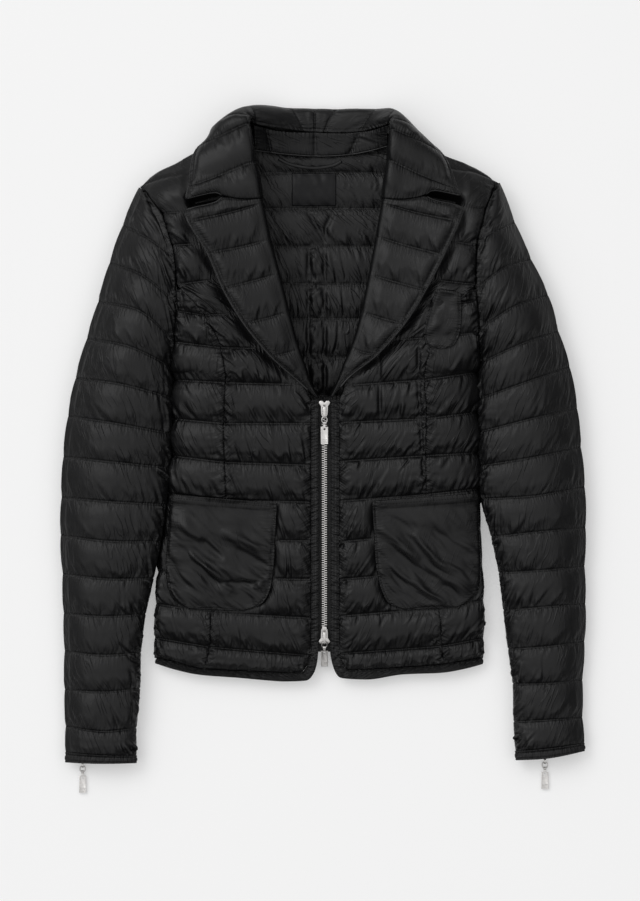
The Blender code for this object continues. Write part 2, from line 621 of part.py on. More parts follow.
def sleeve_grid(side, table, steps, columns=15, open_rows=0):
    """Rings from the front armhole seam over the outer fold to the back armhole seam."""
    sign = -1 if side == "right" else 1
    edge = smooth(OUTER_EDGE[side])
    half = columns // 2
    rings = []
    for k, (ox, oy, mx, my, ix, iy, low, high) in enumerate(table):
        centre = low + 0.48 * (high - low)
        first = last = math.radians(11)
        if k < open_rows:
            ix = edge(iy) + sign * ARMHOLE_GAP
            top = middle_height(iy) + armhole(iy)
            foot = middle_height(iy) - armhole(iy)
            first = math.asin(np.clip((top - centre) / (high - centre), 0.1, 0.95) ** (1 / 0.75))
            last = math.asin(np.clip((centre - foot) / (centre - low) / 1.2, 0.1, 0.95) ** (1 / 0.75))
        turns = np.concatenate([
            np.linspace(first, math.pi, half + 1), np.linspace(math.pi, 2 * math.pi - last, half + 1)[1:],
        ])
        share = np.concatenate([
            (1 + np.cos(turns[: half + 1])) / (1 + math.cos(first)),
            (1 + np.cos(turns[half + 1 :])) / (1 + math.cos(last)),
        ])
        line = through([(ox - sign * OUTLINE_IN, oy), (mx, my), (ix, iy)], share)
        lift = np.abs(np.sin(turns)) ** 0.75
        z = np.where(turns < math.pi, centre + (high - centre) * lift, centre - (centre - low) * 1.2 * lift)
        rings.append(np.column_stack([line, np.maximum(z, low)]))
    rings = np.array(rings)
    index = np.arange(len(rings))
    fine = np.linspace(0, len(rings) - 1, (len(rings) - 1) * steps + 1)
    flat = rings.reshape(len(rings), -1)
    grid = np.stack([smooth(np.stack([index, column], 1), True)(fine) for column in flat.T], 1)
    grid = grid.reshape(len(fine), columns, 3)
    grid[:, :, 2] = np.maximum(grid[:, :, 2], 0)
    if open_rows:
        y = grid[: (open_rows - 1) * steps + 1, 0, 1]
        for column, rise in ((0, armhole(y)), (-1, -armhole(y))):
            grid[: len(y), column, 0] = edge(y) + sign * ARMHOLE_GAP
            grid[: len(y), column, 1] = y
            grid[: len(y), column, 2] = middle_height(y) + rise
    return grid


def sleeve_piece(side):
    grid = sleeve_grid(side, SLEEVES[side], STEPS, open_rows=UNDERARM_SEAM)
    out = normals(grid, (-1 if side == "right" else 1, 0, 0))
    columns = grid.shape[1]
    half = columns // 2
    around = np.abs(np.arange(columns) - half) / half
    facing = quarter((1 - around) * 3.2)
    clear = np.clip(grid[:, :, 2] / 9, 0, 1) ** 1.5
    swell = SWELL * channels(len(grid))[:, None] * facing * clear
    outer = grid + out * swell[:, :, None]
    outer[:, :, 2] = np.maximum(outer[:, :, 2], 0)
    rows = list(range(0, len(grid), STEPS))
    return wall(f"sleeve_{side}", outer, grid - out * CLOTH, rows, ring_from=UNDERARM_SEAM * STEPS)


def cuff_piece(side):
    grid = sleeve_grid(side, CUFFS[side], 2)
    out = normals(grid, (-1 if side == "right" else 1, 0, 0))
    bulge = 0.8 * np.sin(np.pi * np.arange(len(grid)) / (len(grid) - 1))[:, None, None]
    return wall(f"cuff_{side}", grid + out * bulge, grid - out * CLOTH, ring_from=0)


def lapel_piece(side, lower):
    """The front turned back: it rolls round the front's edge and lies on it."""
    seams = [[row[0:2], row[2:4], row[4:6]] for row in LAPELS[side]]
    flat = loft(seams, np.linspace(0, 1, 8), 3)
    turn = flat[:, 0] - flat[:, 1]
    between = np.linalg.norm(turn, axis=1, keepdims=True)
    turn /= between
    flat[:, 0] -= turn * np.minimum(CLOTH + 1, 0.75 * between)
    under = lower.lay(np.dstack([flat, np.zeros(flat.shape[:2])]), LAPEL_GAP)
    fold = []
    for reach, drop in ((1.2, CLOTH + 0.9), (1.6, CLOTH * 0.3)):
        place = flat[:, 0] + turn * reach
        fold.append(np.column_stack([place, under[:, 0, 2] - LAPEL_GAP - drop]))
    under = np.concatenate([np.stack(fold, 1), under], axis=1)
    out = normals(under, (0, 0, 1))
    taper = edge_taper(under, 14, ends=(False, True))
    taper[:, :3] *= (0.1, 0.4, 0.7)
    swell = 0.8 * SWELL * channels(len(under), 3)[:, None] * taper
    return wall(f"lapel_{side}", under + out * (CLOTH + swell)[:, :, None], under)


def collar_piece(lower):
    steps = 3
    grid = loft(COLLAR_SEAMS, np.linspace(0, 1, 9), steps)
    out = normals(grid, (0, 0, 1))
    middle = len(grid) // 2
    if out[middle, 1, 2] < 0:
        out = -out
    front = list(range(0, 2 * steps + 1)) + list(range(len(grid) - 2 * steps - 1, len(grid)))
    for part in (front[: len(front) // 2], front[len(front) // 2 :]):
        under = grid[part] - out[part] * CLOTH
        laid = lower.lay(under[:, 2:], 3 * GAP, floor=under[:, 2:, 2])
        raised = laid[:, :, 2] - under[:, 2:, 2]
        grid[part, 2:, 2] += raised
        grid[part, :2, 2] += raised[:, :1]
    out = normals(grid, (0, 0, 1))
    if out[middle, 1, 2] < 0:
        out = -out
    swell = 0.8 * SWELL * channels(len(grid), steps)[:, None] * edge_taper(grid, 12)
    swell = swell * np.clip(grid[:, :, 2] / 9, 0, 1)
    outer = grid + out * swell[:, :, None]
    outer[:, :, 2] = np.maximum(outer[:, :, 2], 0)
    return wall("collar", outer, grid - out * CLOTH)


def stand_piece():
    seams = [[row[:3], tuple((a + b) / 2 for a, b in zip(row[:3], row[3:])), row[3:]] for row in STAND_SEAMS]
    grid = loft(seams, np.linspace(0, 1, 4), 3)
    out = normals(grid, (0, 0, 1))
    swell = 0.4 * SWELL * channels(len(grid), 3)[:, None] * edge_taper(grid, 9)
    return wall("collar_stand", grid + out * swell[:, :, None], grid - out * (CLOTH - 0.6))


def band_piece(side):
    seams = [[row[:2], row[2:]] for row in BANDS[side]]
    rows = np.array([np.linspace(a, b, 3) for a, b in seams])
    steps = 2
    fine = np.linspace(0, len(rows) - 1, (len(rows) - 1) * steps + 1)
    index = np.arange(len(rows))
    flat = np.stack(
        [smooth(np.stack([index, column], 1))(fine) for column in rows.reshape(len(rows), -1).T], 1
    ).reshape(len(fine), 3, 2)
    x, y = flat[:, :, 0], flat[:, :, 1]
    base = np.dstack([x, y, over_front(side, x, y)])
    out = normals(base, (0, 0, 1))
    bulge = np.array([0.0, 1.0, 0.2])[None, :, None]
    return wall(f"edge_band_{side}", base + out * bulge, base - out * PLAIN)


def laid_patch(name, table, columns, steps, lower, thick, crown, material="black_nylon"):
    """A flat piece sewn on a panel: it follows what lies under it."""
    seams = [[row[:2], ((row[0] + row[2]) / 2, (row[1] + row[3]) / 2), row[2:]] for row in table]
    flat = loft(seams, np.linspace(0, 1, columns), steps)
    under = lower.lay(np.dstack([flat, np.zeros(flat.shape[:2])]))
    out = normals(under, (0, 0, 1))
    rise = np.sin(np.pi * np.linspace(0, 1, len(flat)))[:, None] * np.sin(np.pi * np.linspace(0, 1, columns))
    thickness = thick + crown * rise**0.7
    return wall(name, under + out * thickness[:, :, None], under, material=material)


def pocket_piece(side, lower):
    return laid_patch(f"pocket_{side}", POCKETS[side], 7, 2, lower, PLAIN, 1.6)


def zip_height(y):
    """Height of the outside of the zip facings at y."""
    return over_front("right", np.array(-12.0), np.asarray(y, float))


def zip_strip(name, x_from, x_to, y_from, y_to, below, thick, material):
    """A strip along the zip: its top lies this far below the facings' outside."""
    y = np.linspace(y_from, y_to, 13)
    top = np.array([[(x, row, zip_height(row) - below) for x in (x_from, x_to)] for row in y])
    under = top - (0, 0, thick)
    return wall(name, top, under, material=material)


def prism(name, outline, low, high, material, axis=2):
    """An outline pushed out along an axis: 2 is Z, 0 is X."""
    points = []
    for level in (low, high):
        for a, b in outline:
            points.append((a, b, level) if axis == 2 else (level, a, b))
    count = len(outline)
    faces = [list(range(count))[::-1], [count + i for i in range(count)]]
    faces += [[i, (i + 1) % count, count + (i + 1) % count, count + i] for i in range(count)]
    return add_mesh(name, points, faces, material, rounded=False)


def place(obj, angle, pivot):
    """Puts a piece, drawn along Y with its hinge at the origin, at its hinge and tips it down."""
    obj.location = Vector(pivot) * MM
    obj.rotation_euler.x = angle


def join(obj, other, operation="UNION"):
    """A Boolean of two objects, applied, with the second one removed."""
    modifier = obj.modifiers.new("join", "BOOLEAN")
    modifier.operation = operation
    modifier.object = other
    graph = bpy.context.evaluated_depsgraph_get()
    mesh = bpy.data.meshes.new_from_object(obj.evaluated_get(graph))
    obj.modifiers.clear()
    old = obj.data
    obj.data = mesh
    bpy.data.meshes.remove(old)
    bpy.data.objects.remove(other, do_unlink=True)


def slider(name, pivot, angle):
    """A flared body with rounded ears and the bridge that holds the pull. The hinge is the local origin."""
    half, length = SLIDER_WIDTH / 2, SLIDER_LENGTH
    low = -BRIDGE_RISE / 2 - SLIDER_THICK
    top = -BRIDGE_RISE / 2
    outline = [
        (-0.42 * half, -1.0), (0.42 * half, -1.0), (0.72 * half, 1.0), (0.78 * half, 0.5 * length),
        (half, 0.72 * length), (half, 0.88 * length), (0.7 * half, length - 1.2), (0.32 * half, length - 2.4),
        (0, length - 1.6), (-0.32 * half, length - 2.4), (-0.7 * half, length - 1.2), (-half, 0.88 * length),
        (-half, 0.72 * length), (-0.78 * half, 0.5 * length), (-0.72 * half, 1.0),
    ]
    body = prism(name, outline, low, top, "nickel")
    crown = BRIDGE_RISE / 2
    arch = [
        (-0.4 * WIRE - 1.7, top - 0.5), (-0.4 * WIRE - 1.7, crown * 0.6), (-0.8, crown + BRIDGE_WALL * 0.6),
        (2.2, crown + BRIDGE_WALL), (6.5, crown + BRIDGE_WALL * 0.6), (9.0, crown * 0.2), (9.6, top - 0.5),
        (7.6, top - 0.5), (6.4, crown * 0.5), (2.4, crown), (0.2, crown * 0.85), (-1.05, crown * 0.5),
        (-1.05, top - 0.5),
    ]
    bridge = prism("bridge", arch, -BRIDGE_WIDTH / 2, BRIDGE_WIDTH / 2, "nickel", axis=0)
    join(body, bridge)
    place(body, angle, pivot)
    return body


def loop_tube(name, path, radius, sides, material):
    """A closed ring of wire along a flat path."""
    path = np.array(path, float)
    ahead = np.roll(path, -1, 0) - np.roll(path, 1, 0)
    ahead /= np.linalg.norm(ahead, axis=1, keepdims=True)
    outward = np.cross(ahead, (0, 0, 1))
    points, faces = [], []
    for spot, side in zip(path, outward):
        for k in range(sides):
            turn = 2 * math.pi * (k + 0.5) / sides
            points.append(spot + radius * (math.cos(turn) * side + math.sin(turn) * np.array((0, 0, 1))))
    count = len(path)
    for i in range(count):
        for k in range(sides):
            j, n = (i + 1) % count, (k + 1) % sides
            faces.append([i * sides + k, i * sides + n, j * sides + n, j * sides + k])
    return add_mesh(name, points, faces, material)


def link(name, pivot, angle):
    """The wire loop between the slider and the tab."""
    half = (LINK_WIDTH - WIRE) / 2
    bar = 1.35
    long = LINK_LENGTH
    path = [
        (-bar, 0), (bar, 0), (half - 0.25, -0.45), (half, -1.4), (half, 1.4 - long), (half - 0.25, 0.45 - long),
        (bar, -long), (-bar, -long), (-half + 0.25, 0.45 - long), (-half, 1.4 - long), (-half, -1.4),
        (-half + 0.25, -0.45),
    ]
    ring = loop_tube(name, [(x, y, 0) for x, y in path], WIRE / 2, 6, "nickel")
    place(ring, angle, pivot)
    return ring


def tab(name, pivot, angle):
    """The pull tab: a plate with an eye, hung by a rolled barrel on the link's lower bar."""
    outer, inner = BARREL_BORE / 2 + BARREL_WALL, BARREL_BORE / 2
    count = 10
    points, faces = [], []
    for x in (-BARREL_WIDTH / 2, BARREL_WIDTH / 2):
        for radius in (outer, inner):
            for k in range(count):
                turn = 2 * math.pi * k / count
                points.append((x, radius * math.cos(turn), radius * math.sin(turn)))
    for k in range(count):
        n = (k + 1) % count
        faces.append([k, n, 2 * count + n, 2 * count + k])
        faces.append([count + n, count + k, 3 * count + k, 3 * count + n])
        faces.append([n, k, count + k, count + n])
        faces.append([2 * count + k, 2 * count + n, 3 * count + n, 3 * count + k])
    barrel = add_mesh("barrel", points, faces, "nickel")
    half, neck = TAB_WIDTH / 2, BARREL_WIDTH / 2
    start = inner + 0.35
    outline = [
        (-neck, -start), (-neck, -3.4), (-half + 0.6, -3.4), (-half, -4.0), (-half, 0.5 - TAB_LENGTH),
        (-half + 0.5, -TAB_LENGTH), (half - 0.5, -TAB_LENGTH), (half, 0.5 - TAB_LENGTH), (half, -4.0),
        (half - 0.6, -3.4), (neck, -3.4), (neck, -start),
    ]
    plate = prism(name, outline, -TAB_THICK / 2, TAB_THICK / 2, "nickel")
    join(plate, barrel)
    eye = [(1.25 * math.cos(math.pi * k / 4), -6.0 + 1.25 * math.sin(math.pi * k / 4)) for k in range(8)]
    join(plate, prism("eye", eye, -2, 2, "nickel"), "DIFFERENCE")
    place(plate, angle, pivot)
    return plate


def slope_of_zip(y):
    return math.atan2(zip_height(y + 8) - zip_height(y - 8), 16)


def pull_set(key):
    x, y, z, down, hidden = PULLS[key]
    slope = 0.0 if z is not None else slope_of_zip(y + 8)
    if z is None:
        z = float(zip_height(y)) - CLOTH + SLIDER_THICK + BRIDGE_RISE / 2 + 0.3
    pivot = (x, y, z)
    tipped = math.radians(down)
    far = (x, y - LINK_LENGTH * math.cos(tipped), z - LINK_LENGTH * math.sin(tipped))
    link(f"link_{key}", pivot, tipped)
    tab(f"tab_{key}", far, tipped)
    if hidden:
        hidden_slider(f"slider_{key}", pivot)
    else:
        slider(f"slider_{key}", pivot, slope)


def hidden_slider(name, pivot):
    """A cuff zip's slider, under the cuff: a flat body whose end is an eye for the link."""
    x, y, z = pivot
    outline = [(x - 4, y + 4.3), (x + 4, y + 4.3), (x + 5, y + 12), (x - 5, y + 12)]
    body = prism(name, outline, 0.3, 3.2, "nickel")
    arch = [
        (y + 5.0, 0.4), (y + 5.0, 3.1), (y + 3.4, 3.3), (y + 2.2, 5.0), (y - 0.4, 5.0), (y - 1.9, 4.0),
        (y - 1.9, 1.2), (y - 0.6, 0.4),
    ]
    bridge = prism("bridge", arch, x - BRIDGE_WIDTH / 2, x + BRIDGE_WIDTH / 2, "nickel", axis=0)
    bore = [(y + 0.9 * math.cos(k * math.pi / 5), z + 0.9 * math.sin(k * math.pi / 5)) for k in range(10)]
    join(bridge, prism("bore", bore, x - 5, x + 5, "nickel", axis=0), "DIFFERENCE")
    join(body, bridge)
    return body


def hanger_loop(lower):
    """A bound cord sewn in at the neck seam, lying on the inside of the back."""
    shares = np.linspace(0, 1, 13)
    path = through(HANGER_LOOP, shares)
    points, faces, sides = [], [], 6
    tops = []
    for x, y in path:
        around = [(x + a, y + b) for a in (-1.5, 0, 1.5) for b in (-1.5, 0, 1.5)]
        tops.append(max(lower.top(a, b) for a, b in around))
    for (x, y), top in zip(path, tops):
        for k in range(sides):
            turn = 2 * math.pi * (k + 0.5) / sides
            lift = top + GAP + HANGER_RADIUS * (1 + math.sin(turn))
            points.append((x, y + HANGER_RADIUS * math.cos(turn), lift))
    for i in range(len(path) - 1):
        for k in range(sides):
            n = (k + 1) % sides
            faces.append([i * sides + k, i * sides + n, (i + 1) * sides + n, (i + 1) * sides + k])
    last = (len(path) - 1) * sides
    faces += [list(range(sides))[::-1], [last + k for k in range(sides)]]
    return add_mesh("hanger_loop", points, faces, "black_webbing")


def main():
    clear_scene()
    back = back_piece()
    fronts = {side: front_pieces(side) for side in ("right", "left")}
    for side, pieces in fronts.items():
        lower = Lower(pieces)
        lapel_piece(side, lower)
        pocket_piece(side, lower)
        band_piece(side)
        sleeve_piece(side)
        cuff_piece(side)
    laid_patch("chest_pocket", CHEST_POCKET, 5, 2, Lower(fronts["left"]), PLAIN, 0.8)
    collar_piece(Lower(fronts["right"] + fronts["left"]))
    stand_piece()
    inside = Lower([back])
    x_from, x_to, y_from, y_to = LABEL
    rows = tuple((x_from, y, x_to, y) for y in np.linspace(y_to, y_from, 4))
    laid_patch("neck_label", rows, 4, 1, inside, LABEL_THICK, 0, "satin_label")
    hanger_loop(inside)
    split = SEAM_GAP / 3
    for side, x_from, x_to in (("right", -TAPE_X, ZIP_X - split), ("left", ZIP_X + split, TAPE_X - 1.2)):
        zip_strip(f"zip_tape_{side}", x_from, x_to, *TAPE_ENDS, CLOTH + 0.3, TAPE_THICK, "black_webbing")
    half = CHAIN_WIDTH / 2
    below = CLOTH - CHAIN_THICK
    zip_strip("zip_chain", ZIP_X - half, ZIP_X + half, *CHAIN_ENDS, below, CHAIN_THICK, "nickel")
    for key in PULLS:
        pull_set(key)


main()
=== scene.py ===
"""A short quilted blazer jacket of black nylon with a two-way metal zip, laid on its back.

+Z is up from the table, +Y runs from the hem to the collar, +X to the wearer's left sleeve.
The tables of cloth are in millimetres.
"""

import math

import bmesh
import bpy
import numpy as np
from mathutils import Matrix, Vector


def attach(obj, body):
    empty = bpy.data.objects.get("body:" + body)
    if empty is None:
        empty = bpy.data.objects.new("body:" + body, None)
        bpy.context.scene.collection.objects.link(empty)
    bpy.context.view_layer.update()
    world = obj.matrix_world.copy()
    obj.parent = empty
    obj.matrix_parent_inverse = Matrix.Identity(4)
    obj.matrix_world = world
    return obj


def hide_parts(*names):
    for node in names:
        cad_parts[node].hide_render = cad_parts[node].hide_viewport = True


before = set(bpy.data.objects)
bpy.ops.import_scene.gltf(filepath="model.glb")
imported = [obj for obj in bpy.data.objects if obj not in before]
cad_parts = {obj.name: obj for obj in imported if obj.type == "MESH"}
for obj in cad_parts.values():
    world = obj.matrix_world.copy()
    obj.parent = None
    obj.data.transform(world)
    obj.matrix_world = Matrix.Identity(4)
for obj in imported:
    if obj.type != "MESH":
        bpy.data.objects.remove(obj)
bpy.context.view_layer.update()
scene = bpy.context.scene

# ---- The light table
# A sheet of opal acrylic, lit by one large softbox at the upper left and by a white ceiling, and a little
# from below, which thins the shadows. The camera hangs straight above on a long lens, so the jacket shows
# almost without perspective.

MM = 0.001


def linear(code):
    """An sRGB hex colour as linear red, green, blue and alpha."""
    parts = [int(code[i : i + 2], 16) / 255 for i in (0, 2, 4)]
    return tuple(c / 12.92 if c <= 0.04045 else ((c + 0.055) / 1.055) ** 2.4 for c in parts) + (1.0,)


def add_node(tree, kind, settings=None, **inputs):
    """Adds a shader node with its settings. An input given as a socket is linked, any other is set."""
    node = tree.nodes.new("ShaderNode" + kind)
    for name, value in (settings or {}).items():
        setattr(node, name, value)
    for name, value in inputs.items():
        socket = node.inputs[int(name[1:])] if name[1:].isdigit() else node.inputs[name.replace("_", " ")]
        if isinstance(value, bpy.types.NodeSocket):
            tree.links.new(value, socket)
        else:
            socket.default_value = value
    return node


def new_material(name, colour, roughness, metallic=0.0):
    """A Principled material. Its tree and shader come back too, for what is added to them."""
    material = bpy.data.materials.new(name)
    material.use_nodes = True
    shader = material.node_tree.nodes["Principled BSDF"]
    shader.inputs["Base Color"].default_value = linear(colour)
    shader.inputs["Roughness"].default_value = roughness
    shader.inputs["Metallic"].default_value = metallic
    material.diffuse_color = linear(colour)
    return material, material.node_tree, shader


def dented(tree, shader, height, strength, **more):
    """Drives the shader's normal with a height."""
    bump = add_node(tree, "Bump", Strength=strength, Height=height, **more)
    tree.links.new(bump.outputs[0], shader.inputs["Normal"])


def tinted(tree, shader, colour, shade, **limits):
    """The base colour, made lighter and darker with a field. Limits are those of its Map Range node."""
    shade = add_node(tree, "MapRange", Value=shade, **limits).outputs[0]
    mixed = add_node(tree, "MixRGB", {"blend_type": "MULTIPLY"}, Fac=1.0, Color1=linear(colour), Color2=shade)
    tree.links.new(mixed.outputs[0], shader.inputs["Base Color"])


# Opal acrylic: even and milky, glowing a little, with a fine tooth that only just breaks up the shadow.
opal, tree, shader = new_material("opal_acrylic", "cdcdcd", 0.9)
shader.inputs["Emission Color"].default_value = (1, 1, 1, 1)
shader.inputs["Emission Strength"].default_value = 0.31
place = add_node(tree, "TexCoord").outputs["Object"]
tooth = add_node(tree, "TexNoise", Vector=place, Scale=900.0, Detail=2.0)
dented(tree, shader, tooth.outputs["Fac"], 0.04)

bpy.ops.object.select_all(action="DESELECT")
bpy.ops.mesh.primitive_plane_add(size=9.0, location=(0, 0, -0.0003))
table = bpy.context.object
table.name = "table"
bpy.ops.object.transform_apply(location=True, rotation=False, scale=False)
table.data.materials.append(opal)


def softbox(name, place, aim, size, power):
    """A square area light that faces a point."""
    bpy.ops.object.light_add(type="AREA", location=place)
    lamp = bpy.context.object
    lamp.name = name
    lamp.data.size = size
    lamp.data.energy = power
    lamp.rotation_euler = (Vector(aim) - Vector(place)).to_track_quat("-Z", "Y").to_euler()


softbox("key_softbox", (-4.3, 3.9, 6.6), (0, 0, 0), 5.0, 210)

room = bpy.data.worlds.new("white_room")
room.use_nodes = True
tree = room.node_tree
looking = add_node(tree, "TexCoord").outputs["Generated"]
towards = add_node(tree, "VectorMath", {"operation": "DOT_PRODUCT"}, i0=looking, i1=(-0.14, 0.17, 0.975))
brightness = add_node(
    tree, "MapRange", {"interpolation_type": "SMOOTHSTEP"}, Value=towards.outputs["Value"],
    i1=0.16, i2=0.96, i3=0.06, i4=1.16,
)
tree.links.new(brightness.outputs[0], tree.nodes["Background"].inputs["Strength"])
tree.nodes["Background"].inputs["Color"].default_value = (1, 1, 1, 1)
scene.world = room
scene.view_settings.view_transform = "Standard"

VIEW_HIGH = 901 * 1.06 * MM  # of the table that the camera sees, from the collar's side to the hem's
CAMERA_HIGH = 6.0  # over the cloth, which is taken as 20 mm high
bpy.ops.object.camera_add(location=(-5.3 * MM, -0.53 * MM, CAMERA_HIGH + 20 * MM), rotation=(0, 0, 0))
camera = bpy.context.object
camera.name = "overhead_camera"
camera.data.sensor_width = 36
camera.data.lens = 36 * CAMERA_HIGH / VIEW_HIGH
scene.camera = camera

# ---- The two fronts and the side panels
# Black nylon taffeta over light wadding over lining, quilted in channels about 38 mm apart and sewn
# together at the princess seams. The sewing draws the cloth up, so it puckers along every seam.

CLOTH = 3.0  # the wall at a seam
SWELL = 6.4  # how far a channel rises between its seams
GAP = 0.4  # between two pieces where they are sewn
SEAM_GAP = 0.6  # between the shoulder's line and the front
CLOSED = 0.03  # half the slit that is left between two panels at their seam
PRESSED = 0.12  # share of the swell left under a lapel or pocket
ROWS = 28  # rows of points in a channel
SIDE_ROLL = 42.0  # width over which a front falls away to the side seam
SHOULDER_ROLL = 26.0  # of the back, under it
SHOULDER_SLOPE = 40.0  # width over which the front falls away to the shoulder
SHOULDER_Z = 27.0  # height of the shoulder seams
SHOULDER_RISE = 60.0  # length of the armhole over which its middle rises to them
MIDDLE = 0.46  # height of the side seams as a share of the body's
TIP_Y, UNDERARM_Y = 279.0, 84.0  # of the armholes
ARMHOLE_RISE, ARMHOLE_FOOT = 26.0, 19.0  # most height of its front and back seam over and under the middle

# Height of the body over the table, by y.
BODY_HEIGHT = ((-250, 15), (-205, 19), (-150, 28), (-50, 39), (50, 48), (150, 53), (250, 53), (345, 46))
# Columns: y, x. Armhole from the shoulder tip down to the underarm, then the side seam to the hem.
OUTER_EDGE = {
    "right": (
        (-230, -181.5), (-160, -179), (-95, -172.5), (-47, -166), (-6, -162.5), (32, -161), (67, -160.5),
        (91, -160), (124, -157.5), (150, -156.5), (181, -156.5), (205, -158.5), (221, -162.5),
        (248, -170.5), (258, -178), (279, -194.5),
    ),
    "left": (
        (-230, 168), (-160, 168), (-95, 165.5), (-47, 163.5), (-6, 162), (32, 161.5), (67, 161.5), (91, 161.5),
        (132, 161.5), (164, 159.5), (189, 158.5), (216, 160), (237, 164), (256, 170), (281, 181),
    ),
}
# Columns: y, x. The roll line of the lapel, then the outer side of the zip facing.
INNER_EDGE = {
    "right": (
        (-240, -29), (-228, -24.5), (-205, -20.2), (-100, -19.8), (40, -19.8), (60, -21), (73, -24.6),
        (105, -32), (135, -39.6), (160, -45.6), (194, -55.5), (229, -63), (266, -70.5), (315, -80), (344, -88),
    ),
    "left": (
        (-236, 28), (-224, 22), (-205, 18.8), (-100, 18.5), (40, 18.5), (60, 19.5), (73, 22), (108, 33.5),
        (147, 43.5), (187, 51.5), (229, 59), (268, 65.5), (307, 71.5), (344, 78),
    ),
}
# Columns: y, x. Princess seam from the armhole to the hem band.
PRINCESS = {
    "right": (
        (-236, -129), (-205, -122), (-173, -120.5), (-117, -109), (-49, -105), (-7, -106), (28, -107),
        (76, -105), (108, -110), (145, -129), (174.5, -156),
    ),
    "left": (
        (-228, 125.5), (-209, 124), (-168, 121), (-117, 114.5), (-49, 107), (-7, 106), (34, 107), (76, 105),
        (108, 111), (145, 131), (174.5, 158.5),
    ),
}
# Columns: x, y along the shoulder from its tip to the neck.
SHOULDER = {
    "right": ((-196, 279), (-188, 288), (-170, 299), (-150, 308), (-139, 315), (-109, 329), (-84, 341)),
    "left": ((184, 283), (167, 295), (149, 304), (128, 312), (101, 327), (74, 341)),
}
# Columns: y of a quilt seam at the outer edge, half way or princess seam, inner edge.
FRONT_SEAMS = {
    "right": (
        (250, 253, 259), (216, 219, 223), (175, 180, 188), (147, 142, 147), (114, 108, 106), (74, 71, 69),
        (33, 28, 28), (-6, -13, -16), (-46, -53, -55), (-90, -95, -96), (-128, -135, -137), (-163, -172, -178),
        (-199, -209, -218), (-219.4, -231.9, -236.3),
    ),
    "left": (
        (255, 261, 260), (216, 223, 225), (185, 185, 186), (158, 154, 151), (124, 119, 113), (82, 74, 68),
        (40, 33, 29), (-3, -6, -12), (-41, -47, -54), (-84, -88, -97), (-123, -128, -137), (-159, -167, -176),
        (-200, -208, -216), (-220, -227.2, -233.5),
    ),
}
PRINCESS_FROM = 2  # the quilt seam at which the princess seam leaves the armhole
# Columns: outer edge of a lapel, y and x, and the two rows between which it covers the front.
LAPEL_EDGE = {
    "right": ((253, -146.5), (240, -144), (207, -124), (170, -108), (133, -86), (99, -58), (72, -28), (60, -14)),
    "left": ((254.5, 145.5), (240, 141), (205, 125), (168, 106), (132, 83.5), (100, 55), (77, 26), (62, 12)),
}
# Columns: inner edge x, y, where the bands are sewn on; outer edge x, y.
BANDS = {
    "right": (
        (-14.9, 52, -6.9, 54), (-14.9, 20, -6.9, 20), (-14.9, -60, -6.9, -60), (-14.9, -130, -6.9, -130),
        (-14.9, -190, -6.9, -190), (-15.2, -206, -7.2, -214), (-17.6, -224, -9.8, -231.5), (-25, -235.6, -20, -244.6),
        (-47, -236.4, -43, -245.6), (-92, -234.6, -92, -241.7), (-129, -232.7, -133, -238.5),
        (-158, -225.6, -161, -232.5), (-179, -220.6, -180.5, -226.5),
    ),
    "left": (
        (14.9, 52, 6.2, 54), (14.9, 20, 6.2, 20), (14.9, -60, 6.2, -60), (14.9, -130, 6.1, -130),
        (14.9, -190, 5.9, -190), (15.2, -205, 5.4, -212), (17.6, -222, 8.4, -229), (24.5, -233.2, 17, -241.8),
        (47, -232.9, 45, -243.5), (84, -230.8, 84, -238), (122, -228, 122, -236.5), (146, -224.3, 147, -232.5),
        (166.5, -220.9, 167.5, -227.3),
    ),
}
BAND_CORNER, BAND_FINE = 7, 1200  # the row of that table at the corner, and how many steps it is drawn in
# Pockets. Columns: outer x, y; inner x, y of each row, from the mouth down.
POCKETS = {
    "right": (
        (-161, -47, -51.4, -56), (-163, -57, -51.6, -67), (-166, -92, -53, -100), (-168, -122, -54.5, -128),
        (-165, -148, -58.5, -149), (-156, -162, -68, -163), (-142, -168.5, -86, -170.5),
    ),
    "left": (
        (160, -45.6, 50.5, -54), (161.5, -56, 50.8, -65), (163, -92, 52.5, -98), (164.5, -124, 55, -128),
        (162.5, -147, 60, -148), (153, -160, 68, -162), (139, -166.5, 84, -169.5),
    ),
}
CHEST_POCKET = (
    (143, 166, 117, 170), (144, 146, 108, 142), (142.5, 125, 104, 122), (137, 112, 107, 112),
    (128, 107, 116, 107),
)


def ramp(value):
    """A value held between 0 and 1."""
    return np.clip(value, 0, 1)


def bell(off, width):
    """1 at no distance, falling away smoothly on both sides within about this width."""
    return np.exp(-((off / width) ** 2))


def hermite(t, start, end, slope_in, slope_out, span=1.0):
    """Between two values at share t, with the slopes at both."""
    return (
        (2 * t**3 - 3 * t**2 + 1) * start
        + (t**3 - 2 * t**2 + t) * span * slope_in
        + (3 * t**2 - 2 * t**3) * end
        + (t**3 - t**2) * span * slope_out
    )


def smooth(points, swings=False):
    """A smooth function of the first column through the second, which swings past its points if told to."""
    points = np.array(points, float)
    keys, values = points[np.argsort(points[:, 0])].T
    slopes = np.gradient(values, keys)
    if not swings:
        rises = np.diff(values) / np.diff(keys)
        before, after = rises[:-1], rises[1:]
        total = np.where(before * after > 0, before + after, 1)
        slopes[1:-1] = np.where(before * after > 0, 2 * before * after / total, 0)

    def at(where):
        where = np.clip(where, keys[0], keys[-1])
        i = np.clip(np.searchsorted(keys, where) - 1, 0, len(keys) - 2)
        span = keys[i + 1] - keys[i]
        return hermite((where - keys[i]) / span, values[i], values[i + 1], slopes[i], slopes[i + 1], span)

    return at


